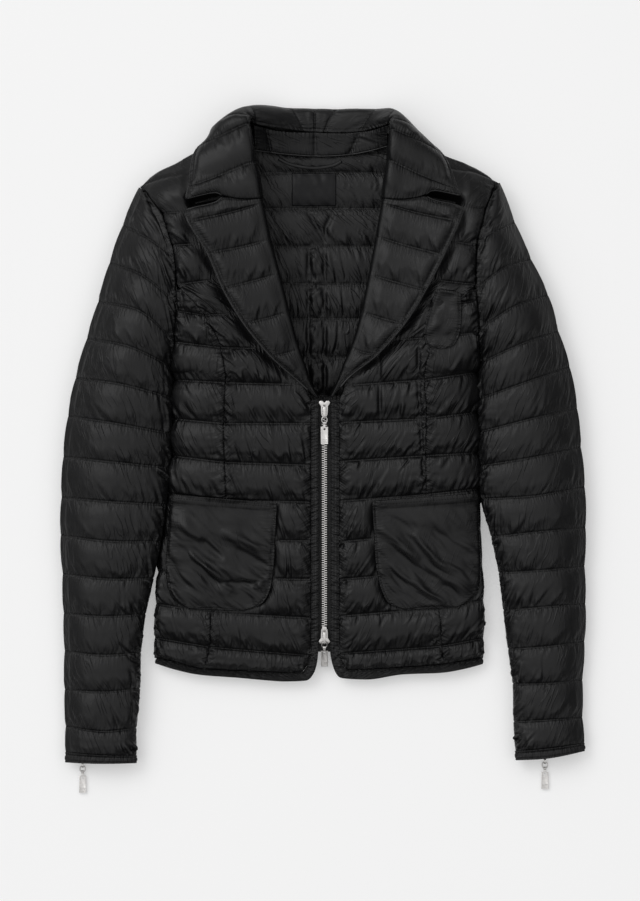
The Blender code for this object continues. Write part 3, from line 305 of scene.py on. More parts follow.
def between_rows(rows, places, swings=False):
    """A table or grid at these row numbers and parts of them, smooth down every column."""
    rows = np.array(rows, float)
    number = np.arange(len(rows))
    columns = [smooth(np.stack([number, column], 1), swings)(places) for column in rows.reshape(len(rows), -1).T]
    return np.stack(columns, 1).reshape(len(places), *rows.shape[1:])


def through(points, shares):
    """Points at these shares of the length of a smooth curve through the given ones."""
    points = np.array(points, float)
    along = np.concatenate([[0], np.cumsum(np.linalg.norm(np.diff(points, axis=0), axis=1))])
    fine = np.linspace(0, along[-1], 60 * len(points))
    curve = np.stack([smooth(np.stack([along, axis], 1), True)(fine) for axis in points.T], 1)
    length = np.concatenate([[0], np.cumsum(np.linalg.norm(np.diff(curve, axis=0), axis=1))])
    where = np.array(shares) * length[-1]
    return np.stack([np.interp(where, length, axis) for axis in curve.T], 1)


def loft(seams, columns, steps):
    """A grid of points whose every steps-th row is a seam, and whose columns run smoothly over them."""
    shares = np.linspace(0, 1, columns) if np.isscalar(columns) else columns
    rows = np.array([through(seam, shares) for seam in seams])
    fine = np.linspace(0, len(rows) - 1, (len(rows) - 1) * steps + 1)
    fine = fine - 0.05 * np.sin(2 * np.pi * fine)
    slopes = np.gradient(rows, axis=0)
    i = np.clip(fine.astype(int), 0, len(rows) - 2)
    return hermite((fine - i)[:, None, None], rows[i], rows[i + 1], slopes[i], slopes[i + 1])


def normals(grid, side):
    """Unit normals of a grid. side is the direction, roughly, in which they point at the middle."""
    across = np.cross(np.gradient(grid, axis=0), np.gradient(grid, axis=1))
    across /= np.maximum(np.linalg.norm(across, axis=2, keepdims=True), 1e-9)
    middle = across[len(grid) // 2, grid.shape[1] // 2]
    return across if np.dot(middle, side) > 0 else -across


def quarter(share):
    """A quarter circle's height: 0 at share 0, 1 from share 1."""
    return np.sqrt(1 - (1 - ramp(share)) ** 2)


def ripple(x, y, seed):
    """Smooth noise from about -1 to 1, with a swing in each unit of x and y."""
    x, y = np.broadcast_arrays(np.asarray(x, float), np.asarray(y, float))
    cell_x, cell_y = np.floor(x), np.floor(y)
    share_x, share_y = x - cell_x, y - cell_y

    def corner(right, up):
        mixed = np.sin((cell_x + right) * 127.1 + (cell_y + up) * 311.7 + seed * 74.7) * 43758.5453
        turn = 2 * np.pi * (mixed - np.floor(mixed))
        return np.cos(turn) * (share_x - right) + np.sin(turn) * (share_y - up)

    u = share_x**3 * (share_x * (6 * share_x - 15) + 10)
    v = share_y**3 * (share_y * (6 * share_y - 15) + 10)
    low = corner(0, 0) * (1 - u) + corner(1, 0) * u
    high = corner(0, 1) * (1 - u) + corner(1, 1) * u
    return 1.5 * (low * (1 - v) + high * v)


def lengths(grid, axis):
    """How far each point is from the grid's first row or column, along the cloth."""
    steps = np.linalg.norm(np.diff(grid, axis=axis), axis=2)
    start = np.zeros_like(steps[:1] if axis == 0 else steps[:, :1])
    return np.concatenate([start, np.cumsum(steps, axis=axis)], axis)


class Quilt:
    """Where each point of a grid is on the cloth, and how far the wadding and the puckers lift it there."""

    def __init__(self, grid, steps, seed, edges=(True, True)):
        self.seed = seed
        self.along, self.down = lengths(grid, 1), lengths(grid, 0)
        rows = np.arange(len(grid))
        channel = np.minimum(rows // steps, max((len(grid) - 1) // steps - 1, 0))
        above = self.down[channel * steps]
        below = self.down[np.minimum(channel * steps + steps, len(grid) - 1)]
        self.channel = channel[:, None]
        self.room = np.maximum(below - above, 1e-6)
        self.share = ramp((self.down - above) / self.room)
        self.from_seam = np.minimum(self.down - above, below - self.down)
        first = self.along if edges[0] else np.full_like(self.along, 1e3)
        last = self.along[:, -1:] - self.along if edges[1] else np.full_like(self.along, 1e3)
        self.from_edge = np.minimum(first, last)

    def swell(self, first, last, lean=0.35):
        """The rise of the channels, from 0 at a seam to 1. Pleats from the lower seam eat into its slope.

        At each side edge it falls, over a reach, to a share of itself, and stays there over a margin: first
        and last are (reach, share, margin). A margin below 0 leaves the edge itself less steep.
        """
        plump = 1 + 0.16 * ripple(self.along / 36, self.channel * 3.7, self.seed + 20)
        run = self.along + lean * (1 - self.share) * self.room
        pleats = ripple(run / 11, self.channel * 7.3 + self.share, self.seed + 21)
        pleats = pleats + 0.5 * ripple(run / 4.4, self.channel * 5.1 + 1.6 * self.share, self.seed + 22)
        below = np.maximum(0.36 + 0.22 * pleats, 0.14)
        total = np.sin(np.pi / 2 * ramp(self.share / 0.45)) ** 0.8
        total = total * (1 - (1 - ramp((1 - self.share) / below)) ** 1.35)
        total = plump * total * (0.5 + 0.5 * ramp(self.room / 38)) * ramp(self.room / 16)
        for off, (reach, share, margin) in ((self.along, first), (self.along[:, -1:] - self.along, last)):
            total = total * (share + (1 - share) * np.sin(np.pi / 2 * ramp((off - margin) / reach)) ** 0.8)
        return total

    def groove(self, depth=1.3, width=0.8, ends=1.0):
        """The sunk line of each quilt seam, with a share of it at the first row and the last."""
        outside = (self.channel == 0) & (self.share < 0.5) | (self.channel == self.channel.max()) & (self.share > 0.5)
        return -depth * np.where(outside, ends, 1) * bell(self.from_seam, width)

    def folds(self, pitch=6.0, height=2.0, lean=0.45, near=0.55, far=0.5):
        """Crisp folds: most run up from the lower seam, some down from the upper one, and some off the sides.

        One starts in each pitch of a seam. Near and far say how strong they are at the side edges and away
        from them.
        """
        dice = np.random.default_rng(self.seed)
        total = np.zeros_like(self.along)
        for channel in range(int(self.channel.max()) + 1):
            rows = np.flatnonzero(self.channel[:, 0] == channel)
            along, room = self.along[rows], self.room[rows]
            down = self.share[rows] * room
            wide, high = along[:, -1].mean(), room.mean()
            marks = []
            for place in np.arange(dice.uniform(0, pitch), wide, pitch):
                place += dice.uniform(-0.5, 0.5) * pitch
                edge = min(place, wide - place)
                strength = (far + near * math.exp(-max(edge, 0) / 16)) * dice.uniform(0.1, 1.9)
                angle = lean * dice.uniform(0.2, 1.7)
                if dice.uniform() < 0.68:
                    marks.append((place, high, -math.sin(angle), -math.cos(angle), dice.uniform(0.4, 1.05), strength))
                else:
                    marks.append((place, 0, math.sin(angle), math.cos(angle), dice.uniform(0.2, 0.5), strength))
            for place, side in ((0, 1), (wide, -1)):
                for k in range(5):
                    angle = dice.uniform(0.55, 1.15)
                    start = dice.uniform(0.1, 0.9) * high
                    part = (place, start, side * math.sin(angle), side * math.cos(angle) * np.sign(lean))
                    marks.append((*part, dice.uniform(0.25, 0.6), near * dice.uniform(0.4, 1.8)))
            for place, start, to_right, downwards, length, strength in marks:
                length, width = length * high, dice.uniform(0.9, 2.0)
                t = ((along - place) * to_right + (down - start) * downwards) / length
                off = ((down - start) * to_right - (along - place) * downwards) / width
                lens = ramp(t * 5) * ramp(1 - t) ** 0.8
                crest = np.exp(-(np.abs(off) ** 1.4)) - 0.9 * bell(off - 1.9, 1.1)
                total[rows] += height * strength * lens * crest
        return total * (1 - np.exp(-self.from_seam / 1.5))

    def puckers(self, height=1.0, lean=0.5):
        """Ridges that stand square to a seam: fine beside it, fewer and wider further off, most above it."""
        lower = self.share > 0.5
        seam = (self.channel + lower) * 7.3
        total = 0
        for pitch, reach, rise, tilt in ((3.0, 3.2, 0.45, 0.1), (6.0, 8.0, 0.8, 0.5)):
            run = (self.along + lean * tilt * self.from_seam * np.where(lower, -1, 1)) / pitch
            far = reach * (0.85 + 0.8 * ripple(self.along / (2.4 * pitch), seam, self.seed + 1))
            far = far * (0.4 + 0.75 * lower)
            total = total + rise * ripple(run, seam, self.seed + pitch) * np.exp(-self.from_seam / np.maximum(far, 1))
        fade = ramp(2 * (0.5 - np.abs(self.share - np.round(self.share)))) ** 0.5
        return height * total * fade * (1 - np.exp(-self.from_seam / 1.5))

    def gathers(self, y, reach=11.0, height=0.9):
        """Ridges that cross a side seam and match on both its sides, by y."""
        near = np.where(self.along < self.along[:, -1:] / 2, 0, 31)
        wave = ripple(y / 3.8, self.from_edge / 26, 5) + 0.8 * ripple((y + 0.6 * self.from_edge) / 8, 3.3, 6)
        fade = np.exp(-self.from_edge / (reach * (0.8 + 0.5 * ripple(y / 14, near, self.seed + 7))))
        return height * wave * fade * ramp(self.from_seam / 3)


def as_object(name, points, faces, material, smooth_faces=None):
    """An object at the origin from points in millimetres."""
    mesh = bpy.data.meshes.new(name)
    mesh.from_pydata((np.asarray(points) * MM).tolist(), [], faces)
    mesh.materials.append(material)
    shades = np.ones(len(faces), bool) if smooth_faces is None else smooth_faces
    mesh.polygons.foreach_set("use_smooth", shades)
    piece = bpy.data.objects.new(name, mesh)
    scene.collection.objects.link(piece)
    return piece


def signed_volume(points, faces):
    """Above 0 where the faces look outwards."""
    total = 0.0
    for count in (3, 4):
        same = np.array([face for face in faces if len(face) == count], int)
        for k in range(1, count - 1) if len(same) else ():
            a, b, c = points[same[:, 0]], points[same[:, k]], points[same[:, k + 1]]
            total += np.einsum("ij,ij->i", a, np.cross(b, c)).sum()
    return total


def cloth_wall(name, outer, inner, every, material, quilt=None, ring_from=None):
    """A closed wall: a fine grid outside, and every few rows and columns of another inside.

    From row ring_from on, the last column joins the first one, as in a tube.
    """
    rows, columns = outer.shape[:2]
    down, across = every
    ring_from = rows if ring_from is None else ring_from
    in_rows, in_columns = range(0, rows, down), range(0, columns, across)
    assert in_rows[-1] == rows - 1 and in_columns[-1] == columns - 1, (name, rows, columns)
    points = np.concatenate([outer.reshape(-1, 3), inner[np.ix_(in_rows, in_columns)].reshape(-1, 3)])
    start, wide = rows * columns, len(in_columns)

    def outside(row, column):
        return row * columns + column % columns

    def inside(row, column):
        return start + row * wide + column % wide

    faces = []
    for row in range(rows - 1):
        for column in range(columns if row >= ring_from else columns - 1):
            faces.append((
                outside(row, column), outside(row, column + 1),
                outside(row + 1, column + 1), outside(row + 1, column),
            ))
    for k in range(len(in_rows) - 1):
        for column in range(wide if in_rows[k] >= ring_from else wide - 1):
            faces.append((
                inside(k, column + 1), inside(k, column), inside(k + 1, column), inside(k + 1, column + 1),
            ))
    seen = len(faces)
    for k, row, turned in ((0, 0, False), (len(in_rows) - 1, rows - 1, True)):
        for column in range(wide - 1):
            edge = [outside(row, column * across + i) for i in range(across, -1, -1)]
            edge += [inside(k, column), inside(k, column + 1)]
            faces.append(tuple(edge[::-1] if turned else edge))
        if row >= ring_from:
            edge = [outside(row, 0), outside(row, columns - 1), inside(k, wide - 1), inside(k, 0)]
            faces.append(tuple(edge[::-1] if turned else edge))
    for column, k_column, turned in ((0, 0, True), (columns - 1, wide - 1, False)):
        for k, row in enumerate(in_rows[:-1]):
            if row >= ring_from:
                break
            edge = [outside(row + i, column) for i in range(down, -1, -1)]
            edge += [inside(k, k_column), inside(k + 1, k_column)]
            faces.append(tuple(edge[::-1] if turned else edge))
    if 0 < ring_from < rows:
        k = ring_from // down
        faces.append((outside(ring_from, 0), outside(ring_from, columns - 1), inside(k, wide - 1), inside(k, 0)))
    if signed_volume(points, faces) < 0:
        faces = [face[::-1] for face in faces]
    shades = np.arange(len(faces)) < seen
    piece = as_object(name, points, faces, material, shades)
    place = np.full((len(points), 4), 30.0)
    if quilt is not None:
        parts = (quilt.along, quilt.down, quilt.from_seam, quilt.from_edge)
        place[:start] = np.stack([part.ravel() for part in parts], 1)
    for key, columns_of in (("cloth_place", (0, 1)), ("seam_place", (2, 3))):
        values = np.zeros((len(points), 3))
        values[:, :2] = place[:, columns_of]
        piece.data.attributes.new(key, "FLOAT_VECTOR", "POINT").data.foreach_set("vector", values.ravel())
    return piece


def cut(grid):
    """Length, width and area of a grid of cloth, in metres, as it was cut."""
    a, b = np.diff(grid, axis=0)[:, :-1], np.diff(grid, axis=1)[:-1]
    area = np.linalg.norm(np.cross(a, b), axis=2).sum() * MM * MM
    return lengths(grid, 1)[:, -1].max() * MM, lengths(grid, 0)[-1].max() * MM, area


def sewn_in(piece, node):
    """Says what a cloth piece stands for and that it rides on the jacket."""
    put_on(piece, node)


def put_on(piece, node=None, body="root"):
    """Says what a piece rides on and, where there is a node for it, what it stands for."""
    if node:
        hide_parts(node)
    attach(piece, body)


def off_lines(x, y, lines):
    """How far each point is from the nearest of these straight lines, seen from above."""
    nearest = np.full(np.shape(x), 1e3)
    for (ax, ay), (bx, by) in lines:
        along = ramp(((x - ax) * (bx - ax) + (y - ay) * (by - ay)) / ((bx - ax) ** 2 + (by - ay) ** 2))
        nearest = np.minimum(nearest, np.hypot(x - ax - along * (bx - ax), y - ay - along * (by - ay)))
    return nearest


body_height = smooth(BODY_HEIGHT)


def armhole(y, most=ARMHOLE_RISE, power=0.5):
    """How far an armhole seam stands off the middle height at y: not at all at the tip and the underarm."""
    share = ramp((y - UNDERARM_Y) / (TIP_Y - UNDERARM_Y))
    return most * np.sin(np.pi * share) ** power


def middle_height(y):
    """Height of the side seams, and half way up the armhole."""
    side_seam = MIDDLE * body_height(y)
    risen = 1 - ramp((TIP_Y - y) / SHOULDER_RISE)
    return side_seam + (SHOULDER_Z - side_seam) * risen


def over_front(side, x, y):
    """Height of the front's cloth at its seams, falling away to the side seam and the shoulder."""
    edge = smooth(OUTER_EDGE[side])(y)
    low = middle_height(y) + armhole(y)
    height = low + (body_height(y) - low) * quarter(np.abs(x - edge) / SIDE_ROLL)
    down = smooth(SHOULDER[side])(x) - y
    return SHOULDER_Z + (height - SHOULDER_Z) * (1 - (1 - ramp((down - SEAM_GAP) / SHOULDER_SLOPE)) ** 1.6)


def within(x, y, ring):
    """Whether each point lies inside a ring of straight lines."""
    odd = np.zeros(np.shape(x), bool)
    for (ax, ay), (bx, by) in zip(ring, ring[1:] + ring[:1]):
        if ay != by:
            odd ^= ((ay > y) != (by > y)) & (x < ax + (y - ay) * (bx - ax) / (by - ay))
    return odd


def off_lapel(side, x, y):
    """How far each point is from the lapel's outer edge."""
    edge = [(px, py) for py, px in LAPEL_EDGE[side]]
    return off_lines(x, y, list(zip(edge[:-1], edge[1:])))


def off_patch(x, y, rows):
    """How far each point is from a patch pocket: 0 under it."""
    ring = [row[:2] for row in rows] + [row[2:] for row in rows[::-1]]
    return np.where(within(x, y, ring), 0, off_lines(x, y, list(zip(ring[:-1], ring[1:]))))


def pressed(side, x, y):
    """Less swell where a lapel or a pocket holds the front down, with a soft change at its edge."""
    sign = -1 if side == "right" else 1
    lapel = smooth(LAPEL_EDGE[side])(y)
    off = off_lapel(side, x, y)
    held = np.where((sign * (lapel - x) > 0) & (y > 58), 1, bell(off, 10))
    held = np.where(y >= 258, np.maximum(held, ramp((152 - sign * x) / 6)), held)
    off = off_patch(x, y, POCKETS[side])
    held = np.maximum(held, np.exp(-((off / 5) ** 1.5)) * ramp((POCKETS[side][0][1] - y) / 12))
    if side == "left":
        held = np.maximum(held, 0.45 * bell(off_patch(x, y, CHEST_POCKET), 7))
    return 1 + (PRESSED - 1) * held


def pulled(grid, first, last):
    """Draws a grid's side edges on to two curves of x by y, and the rest of each row with them."""
    t = np.linspace(0, 1, grid.shape[1])
    grid[:, :, 0] += (first - grid[:, 0, 0])[:, None] * (1 - t) ** 2 + (last - grid[:, -1, 0])[:, None] * t**2
    return grid


# Nylon taffeta, calendered on one side: even black with a low satin gloss. Its threads, 0.15 mm apart,
# are drawn at 0.5 mm to show, and the needle pinches it into fine ticks along every seam.


def taffeta(name, colour, roughness, pinch=1.0, rumple=1.0, ladder=1.0):
    """Ticks along the quilt seams and rungs along the edges fade off within millimetres of them."""
    material, tree, shader = new_material(name, colour, roughness)
    cloth = add_node(tree, "Attribute", {"attribute_name": "cloth_place"}).outputs["Vector"]
    off = add_node(tree, "Attribute", {"attribute_name": "seam_place"}).outputs["Vector"]
    off = add_node(tree, "SeparateXYZ", Vector=off)
    from_seam, from_edge = off.outputs["X"], off.outputs["Y"]

    def field(scale, detail, rough=0.5):
        put = add_node(tree, "Mapping", Vector=cloth, Scale=scale).outputs[0]
        return add_node(tree, "TexNoise", Vector=put, Scale=1.0, Detail=detail, Roughness=rough).outputs["Fac"]

    def fade(base, distance):
        return add_node(tree, "Math", {"operation": "POWER"}, i0=base, i1=distance).outputs[0]

    def times(a, b):
        return add_node(tree, "Math", {"operation": "MULTIPLY"}, i0=a, i1=b).outputs[0]

    def plus(a, b):
        return add_node(tree, "Math", {"operation": "ADD"}, i0=a, i1=b).outputs[0]

    ticks = times(times(field((0.45, 0.09, 1), 2.0), fade(0.84, from_seam)), 1.9 * pinch)
    rungs = times(times(field((0.07, 0.42, 1), 2.0), fade(0.84, from_edge)), 1.7 * ladder)
    soft = times(field((0.085, 0.05, 1), 3.0, 0.5), 0.5 * rumple)
    leaning = add_node(tree, "Mapping", Vector=cloth, Rotation=(0, 0, 0.42)).outputs[0]
    leaning = add_node(tree, "Mapping", Vector=leaning, Scale=(0.15, 0.022, 1)).outputs[0]
    crease = add_node(tree, "TexNoise", Vector=leaning, Scale=1.0, Detail=1.0, Roughness=0.4).outputs["Fac"]
    crease = add_node(tree, "Math", {"operation": "ABSOLUTE"}, i0=plus(crease, -0.5)).outputs[0]
    crease = add_node(tree, "MapRange", {"interpolation_type": "SMOOTHSTEP"}, Value=crease, i1=0.045, i2=0.0)
    here = add_node(tree, "MapRange", Value=field((0.030, 0.034, 1), 1.0), i1=0.44, i2=0.62).outputs[0]
    folds = times(times(crease.outputs[0], here), 0.32 * rumple)
    height = plus(plus(plus(ticks, rungs), soft), folds)
    dent = add_node(tree, "Bump", Strength=1.0, Distance=0.0011, Height=height)
    thread = add_node(tree, "Mapping", Vector=cloth, Scale=(2.0, 2.0, 1)).outputs[0]
    weave = add_node(tree, "TexChecker", Vector=thread, Scale=1.0).outputs["Fac"]
    dented(tree, shader, weave, 0.12, Distance=0.00006, Normal=dent.outputs[0])
    gloss = add_node(tree, "MapRange", Value=field((0.03, 0.03, 1), 3.0), i3=roughness - 0.04, i4=roughness + 0.05)
    tree.links.new(gloss.outputs[0], shader.inputs["Roughness"])
    tinted(tree, shader, colour, field((0.05, 0.05, 1), 2.0), i3=0.85, i4=1.15)
    shader.inputs["Specular IOR Level"].default_value = 0.26
    return material


quilted_taffeta = taffeta("quilted_nylon_taffeta", "09090a", 0.41)


def band_line(side):
    """The band's table in fine rows."""
    return between_rows(BANDS[side], np.linspace(0, len(BANDS[side]) - 1, BAND_FINE + 1))


def hemmed(grid, hem):
    """Draws a grid's last row on to the line of the hem band, and the last channel with it."""
    order = np.argsort(hem[:, 0])
    move = np.interp(grid[-1, :, 0], hem[order, 0], hem[order, 1]) + 0.06 - grid[-1, :, 1]
    grid[-ROWS - 1 :, :, 1] += move * np.linspace(0, 1, ROWS + 1)[:, None] ** 2
    return grid


def front_grids(side):
    """The front, from princess seam and armhole to the zip, and the side panel beyond the princess seam."""
    outer, inner, princess = smooth(OUTER_EDGE[side]), smooth(INNER_EDGE[side]), smooth(PRINCESS[side])
    sign = -1 if side == "right" else 1
    shoulder = smooth(SHOULDER[side])
    top = PRINCESS[side][-1][0]
    along = np.linspace(SHOULDER[side][0][0], SHOULDER[side][-1][0], 7)
    fronts, sides = [[(x, shoulder(x) - SEAM_GAP) for x in along]], []
    for k, (y_out, y_mid, y_in) in enumerate(FRONT_SEAMS[side]):
        end = (inner(y_in), y_in)
        if k < PRINCESS_FROM:
            start = (outer(y_out), y_out)
            fronts.append([start, ((start[0] + end[0]) / 2, y_mid), end])
            continue
        seam = (princess(y_mid), y_mid) if k > PRINCESS_FROM else (outer(top), top)
        fronts.append([seam, ((seam[0] + end[0]) / 2, (seam[1] + y_in) / 2), end])
        far = (outer(y_out), y_out) if k > PRINCESS_FROM else (outer(top - 5), top - 5)
        near = seam if k > PRINCESS_FROM else (princess(top - 4), top - 4)
        sides.append([far, ((far[0] + near[0]) / 2, (far[1] + near[1]) / 2), near])
    flat = loft(fronts, 103, ROWS)
    y = flat[1:, 0, 1]
    edge = np.where(y > top, outer(y), princess(y) - sign * CLOSED)
    zip_side = flat[1:, -1, 1]
    line = band_line(side)
    corner = BAND_CORNER * BAND_FINE // (len(BANDS[side]) - 1)
    zip_band = np.interp(-zip_side, -line[: corner + 1, 1], line[: corner + 1, 0]) + sign * 0.06
    blend = ramp((61 - zip_side) / 8)
    flat[1:] = pulled(flat[1:], edge, inner(zip_side) * (1 - blend) + zip_band * blend)
    flat = hemmed(flat, line[corner:])
    across = 1 - np.cos(np.linspace(0, 0.5, 49) * np.pi)
    side_flat = loft(sides, across, ROWS)
    near = princess(side_flat[:, -1, 1]) + sign * CLOSED
    return flat, hemmed(pulled(side_flat, outer(side_flat[:, 0, 1]), near), line[corner:])


# Tucks beside the princess seam of the left front, each from x, y to x, y. The right front has none, so
# its line lies far outside it.
TUCKS = {
    "right": (((-300, 0), (-300, 1)),),
    "left": (((57, 99), (58, 32)), ((98.6, 106), (99, 60)), ((99, 60), (104, -25))),
}
# The shoulder seam lies a little to the front of the shoulder's edge.
SHOULDER_SEAM = {
    "right": (((-194, 281), (-165, 288)), ((-165, 288), (-134, 293.8))),
    "left": (((183, 284.5), (160, 293)), ((160, 293), (133, 298.5))),
}
# Under each notch between collar and lapel the front sinks away in a narrow trough, and its lining in a
# wider one.
NOTCH = {"right": (((-111, 267), (-137, 261)),), "left": (((109, 267), (137, 261.5)),)}
SUNK, SUNK_WIDE = 17, 6.5
LINING_SUNK, LINING_SUNK_WIDE = 22, 20


def quilted_panel(name, side, flat, first, last, seed):
    """A front or a side panel on its grid, as a closed piece. Its outer points come back."""
    x, y = flat[:, :, 0], flat[:, :, 1]
    base = np.dstack([x, y, over_front(side, x, y)])
    sunk = off_lines(x, y, NOTCH[side])
    base[:, :, 2] -= SUNK * bell(sunk, SUNK_WIDE)
    out = normals(base, (0, 0, 1))
    quilt = Quilt(base, ROWS, seed)
    hold = pressed(side, x, y)
    if name.startswith("front"):
        hold = hold * np.where(quilt.channel == 0, 0.4, 1)
        sewn_high = y[:, :1] > PRINCESS[side][-1][0]  # into the armhole
        first = (np.where(sewn_high, 11, 7), np.where(sewn_high, 0.1, 0.75), np.where(sewn_high, 0, -1.5))
    else:
        sewn_high = y[:, :1] > 1e3
    tuck = off_lines(x, y, TUCKS[side])
    lift = SWELL * quilt.swell(first, last) * hold * (1 - 0.45 * bell(tuck, 2.2))
    calm = np.clip(out[:, :, 2] / 0.75, 0.1, 1) ** 2
    small = quilt.puckers() + quilt.folds() + 0.8 * np.exp(-tuck / 5) * ripple(y / 4.5, x / 30, seed + 40)
    small = small * calm * np.where(sewn_high, 0.6, 1)
    lift += small * np.clip(hold * 1.4 - 0.2, 0.05, 1)
    lift += quilt.groove() * np.clip(hold, 0.2, 1) * np.clip(out[:, :, 2] / 0.6, 0.1, 1)
    shoulder_seam = bell(off_lines(x, y, SHOULDER_SEAM[side]), 1.1)
    lift -= 1.3 * shoulder_seam * ramp(quilt.from_edge / 5 - 0.4)
    beside_lapel = bell(off_lapel(side, x, y), 8) * ramp((y - 66) / 30)
    lift -= 2.6 * beside_lapel * np.clip((225 - y) / 60, 0.15, 1)
    gathered = calm * quilt.gathers(y, 12, 1.9) * np.where(sewn_high, 0.45, 1)
    lift += gathered * hold * ramp((quilt.from_edge + 1.5) / 3)
    lift = np.maximum(lift, -2.4)
    inside = base - out * CLOTH
    inside[:, :, 2] += SUNK * bell(sunk, SUNK_WIDE)
    inside[:, :, 2] -= LINING_SUNK * bell(sunk, LINING_SUNK_WIDE)
    inside[:, 0, 2] = np.maximum(inside[:, 0, 2], np.minimum(base[:, 0, 2], middle_height(y[:, 0]) + GAP))
    if name.startswith("front"):
        inside[0, :, 2] = np.maximum(inside[0, :, 2], SHOULDER_Z + GAP / 2)
    surface = base + out * lift[:, :, None]
    piece = cloth_wall(name + "_quilted", surface, inside, (14, 6), quilted_taffeta, quilt)
    sewn_in(piece, name)
    return surface


quilt_lines = []  # where the needle went, for the quilting thread
front_surfaces = {"right": [], "left": []}  # the cloth that pockets lie on
for number, side in enumerate(("right", "left")):
    front_flat, side_flat = front_grids(side)
    surface = quilted_panel(f"front_{side}", side, front_flat, (7, 0.75, -1.5), (14, 0.12, 0), 11 + number)
    quilt_lines += list(surface[ROWS:-1:ROWS])
    front_surfaces[side].append(surface)
    surface = quilted_panel(f"side_{side}", side, side_flat, (13, 0.1, 0), (7, 0.75, -1.5), 21 + number)
    quilt_lines += list(surface[ROWS:-1:ROWS])
    front_surfaces[side].append(surface)

# ---- The back
# One quilted panel from the shoulders and the neck to the hem. Its lining side shows in the neck, with
# a ruched strip down the middle where two seams draw it up. Its outer side lies on the table.

BACK_ROWS = 16
BACK_SEAMS = (256, 216, 176, 139, 98, 57, 17, -23, -64, -104, -144, -182, -212)
HEM_AT_SIDES = -221
# Columns: x, y. The top edge over both shoulders and along the neck seam.
BACK_TOP = (
    (-193.5, 278.5), (-187, 287), (-170, 298), (-150, 307), (-139, 314), (-109, 328), (-90, 339), (-80, 343.5),
    (-70, 340.5), (-60, 326), (-50, 320.5), (-10, 317), (30, 319), (54, 325), (66, 334), (78, 337),
    (101, 326), (128, 311), (149, 303), (167, 294), (179.5, 281),
)
NECK_X, NECK_FLAT = -3.0, 58.0  # the middle of the neck, and half the width over which the back lies flat
# The seams that ruche the middle of the back: a pair from the label that closes, then two side by side.
RUCHING = (
    ((-18.3, 254), (-1.6, 224)), ((9.5, 254), (0.5, 236)), ((0.5, 236), (-0.3, 220)), ((-0.3, 220), (-0.3, 20)),
    ((-12.7, 219), (-17.5, 208)), ((-17.5, 208), (-17.5, 20)),
)


def under_back(x, y):
    """Height of the back's underside: flat, and rising to the side seams and the shoulders."""
    edge = np.where(x < 0, smooth(OUTER_EDGE["right"])(y), smooth(OUTER_EDGE["left"])(y))
    low = np.maximum(middle_height(y) - armhole(y, ARMHOLE_FOOT, 0.7) - GAP, 0.5)
    height = low * (1 - quarter(np.abs(x - edge) / SIDE_ROLL))
    down = np.where(x < 0, smooth(SHOULDER["right"])(x), smooth(SHOULDER["left"])(x)) - y
    out = ramp((np.abs(x - NECK_X) - NECK_FLAT) / 22)
    lift = (SHOULDER_Z - 2 * GAP - height) * (1 - quarter((down - SEAM_GAP) / SHOULDER_ROLL))
    return height + lift * out * out * (3 - 2 * out)


edge_right, edge_left = smooth(OUTER_EDGE["right"]), smooth(OUTER_EDGE["left"])
seams = [BACK_TOP, [(-186.5, 267), (-120, 288), (-60, 294), (0, 295), (55, 294), (110, 288), (174.5, 267)]]
for y in BACK_SEAMS:
    last = y == BACK_SEAMS[-1]
    side_y, between = (HEM_AT_SIDES, y - 4) if last else (y, y)
    seams.append([(edge_right(side_y), side_y), (-90, between), (0, y), (85, between), (edge_left(side_y), side_y)])
shares = np.concatenate([
    0.30 * (1 - np.cos(np.linspace(0, 0.5, 29) * np.pi))[:-1], np.linspace(0.30, 0.70, 113),
    1 - 0.30 * (1 - np.cos(np.linspace(0.5, 0, 29) * np.pi))[1:],
])
flat = loft(seams, shares, BACK_ROWS)
reaching = 0.9 + 0.4 * ramp((flat[1:, 0, 1] - 88) / 8)  # under the gap at the sleeves
flat[1:, 0, 0] = edge_right(flat[1:, 0, 1]) + 0.1 - reaching * ramp((flat[1:, 0, 1] + 130) / 10)
flat[1:, -1, 0] = edge_left(flat[1:, -1, 1]) - 0.1 + reaching * ramp((flat[1:, -1, 1] + 60) / 10)
flat[1:, -1, 0] += 2.5 * ramp((flat[1:, -1, 1] - 262) / 8)
x, y = flat[:, :, 0], flat[:, :, 1]
under = np.dstack([x, y, under_back(x, y)])
inward = normals(under, (0, 0, 1))
quilt = Quilt(under, BACK_ROWS, 31)
tuck = off_lines(x, y, RUCHING)
between = ramp((9.5 - np.abs(x + 9)) / 2) * ramp((222 - y) / 6) * (y > 20)
lift = 0.7 * SWELL * quilt.swell((40, 0, 0), (40, 0, 0)) * (1 - 0.6 * bell(tuck, 2.5))
lift += 0.7 * quilt.puckers() + quilt.folds(7, 1.8, 0.1, 0.1, 0.5) + quilt.groove()
lift += 1.3 * np.exp(-tuck / 7) * ripple(y / 5.5, x / 16, 35) + 1.9 * between * ripple(x / 7, y / 5.5, 36)
lift = np.maximum(lift, -0.6) * ramp(quilt.from_edge / 6)
inside = under + inward * (CLOTH + lift)[:, :, None]
for edge in (np.s_[:, 0], np.s_[:, -1]):
    inside[edge][..., 2] = np.minimum(inside[edge][..., 2], under[edge][..., 2])
inside[0, :, 2] = np.minimum(inside[0, :, 2], SHOULDER_Z - GAP)
below = under.copy()
below[:, :, 2] += 1.3 * (1 - np.sin(np.pi * quilt.share) ** 0.5)
back_inside = inside
sewn_in(cloth_wall("back_quilted", inside, below, (2, 2), quilted_taffeta, quilt), "back")
quilt_lines += [inside[k * BACK_ROWS, 40:130] for k in range(1, 8)]

# ---- The sleeves
# One wrapped panel each, quilted in rings, sewn into the armhole and closed to a tube below it. They lie
# flat beside the body, so the cloth crowds into slanting creases near the underarm.

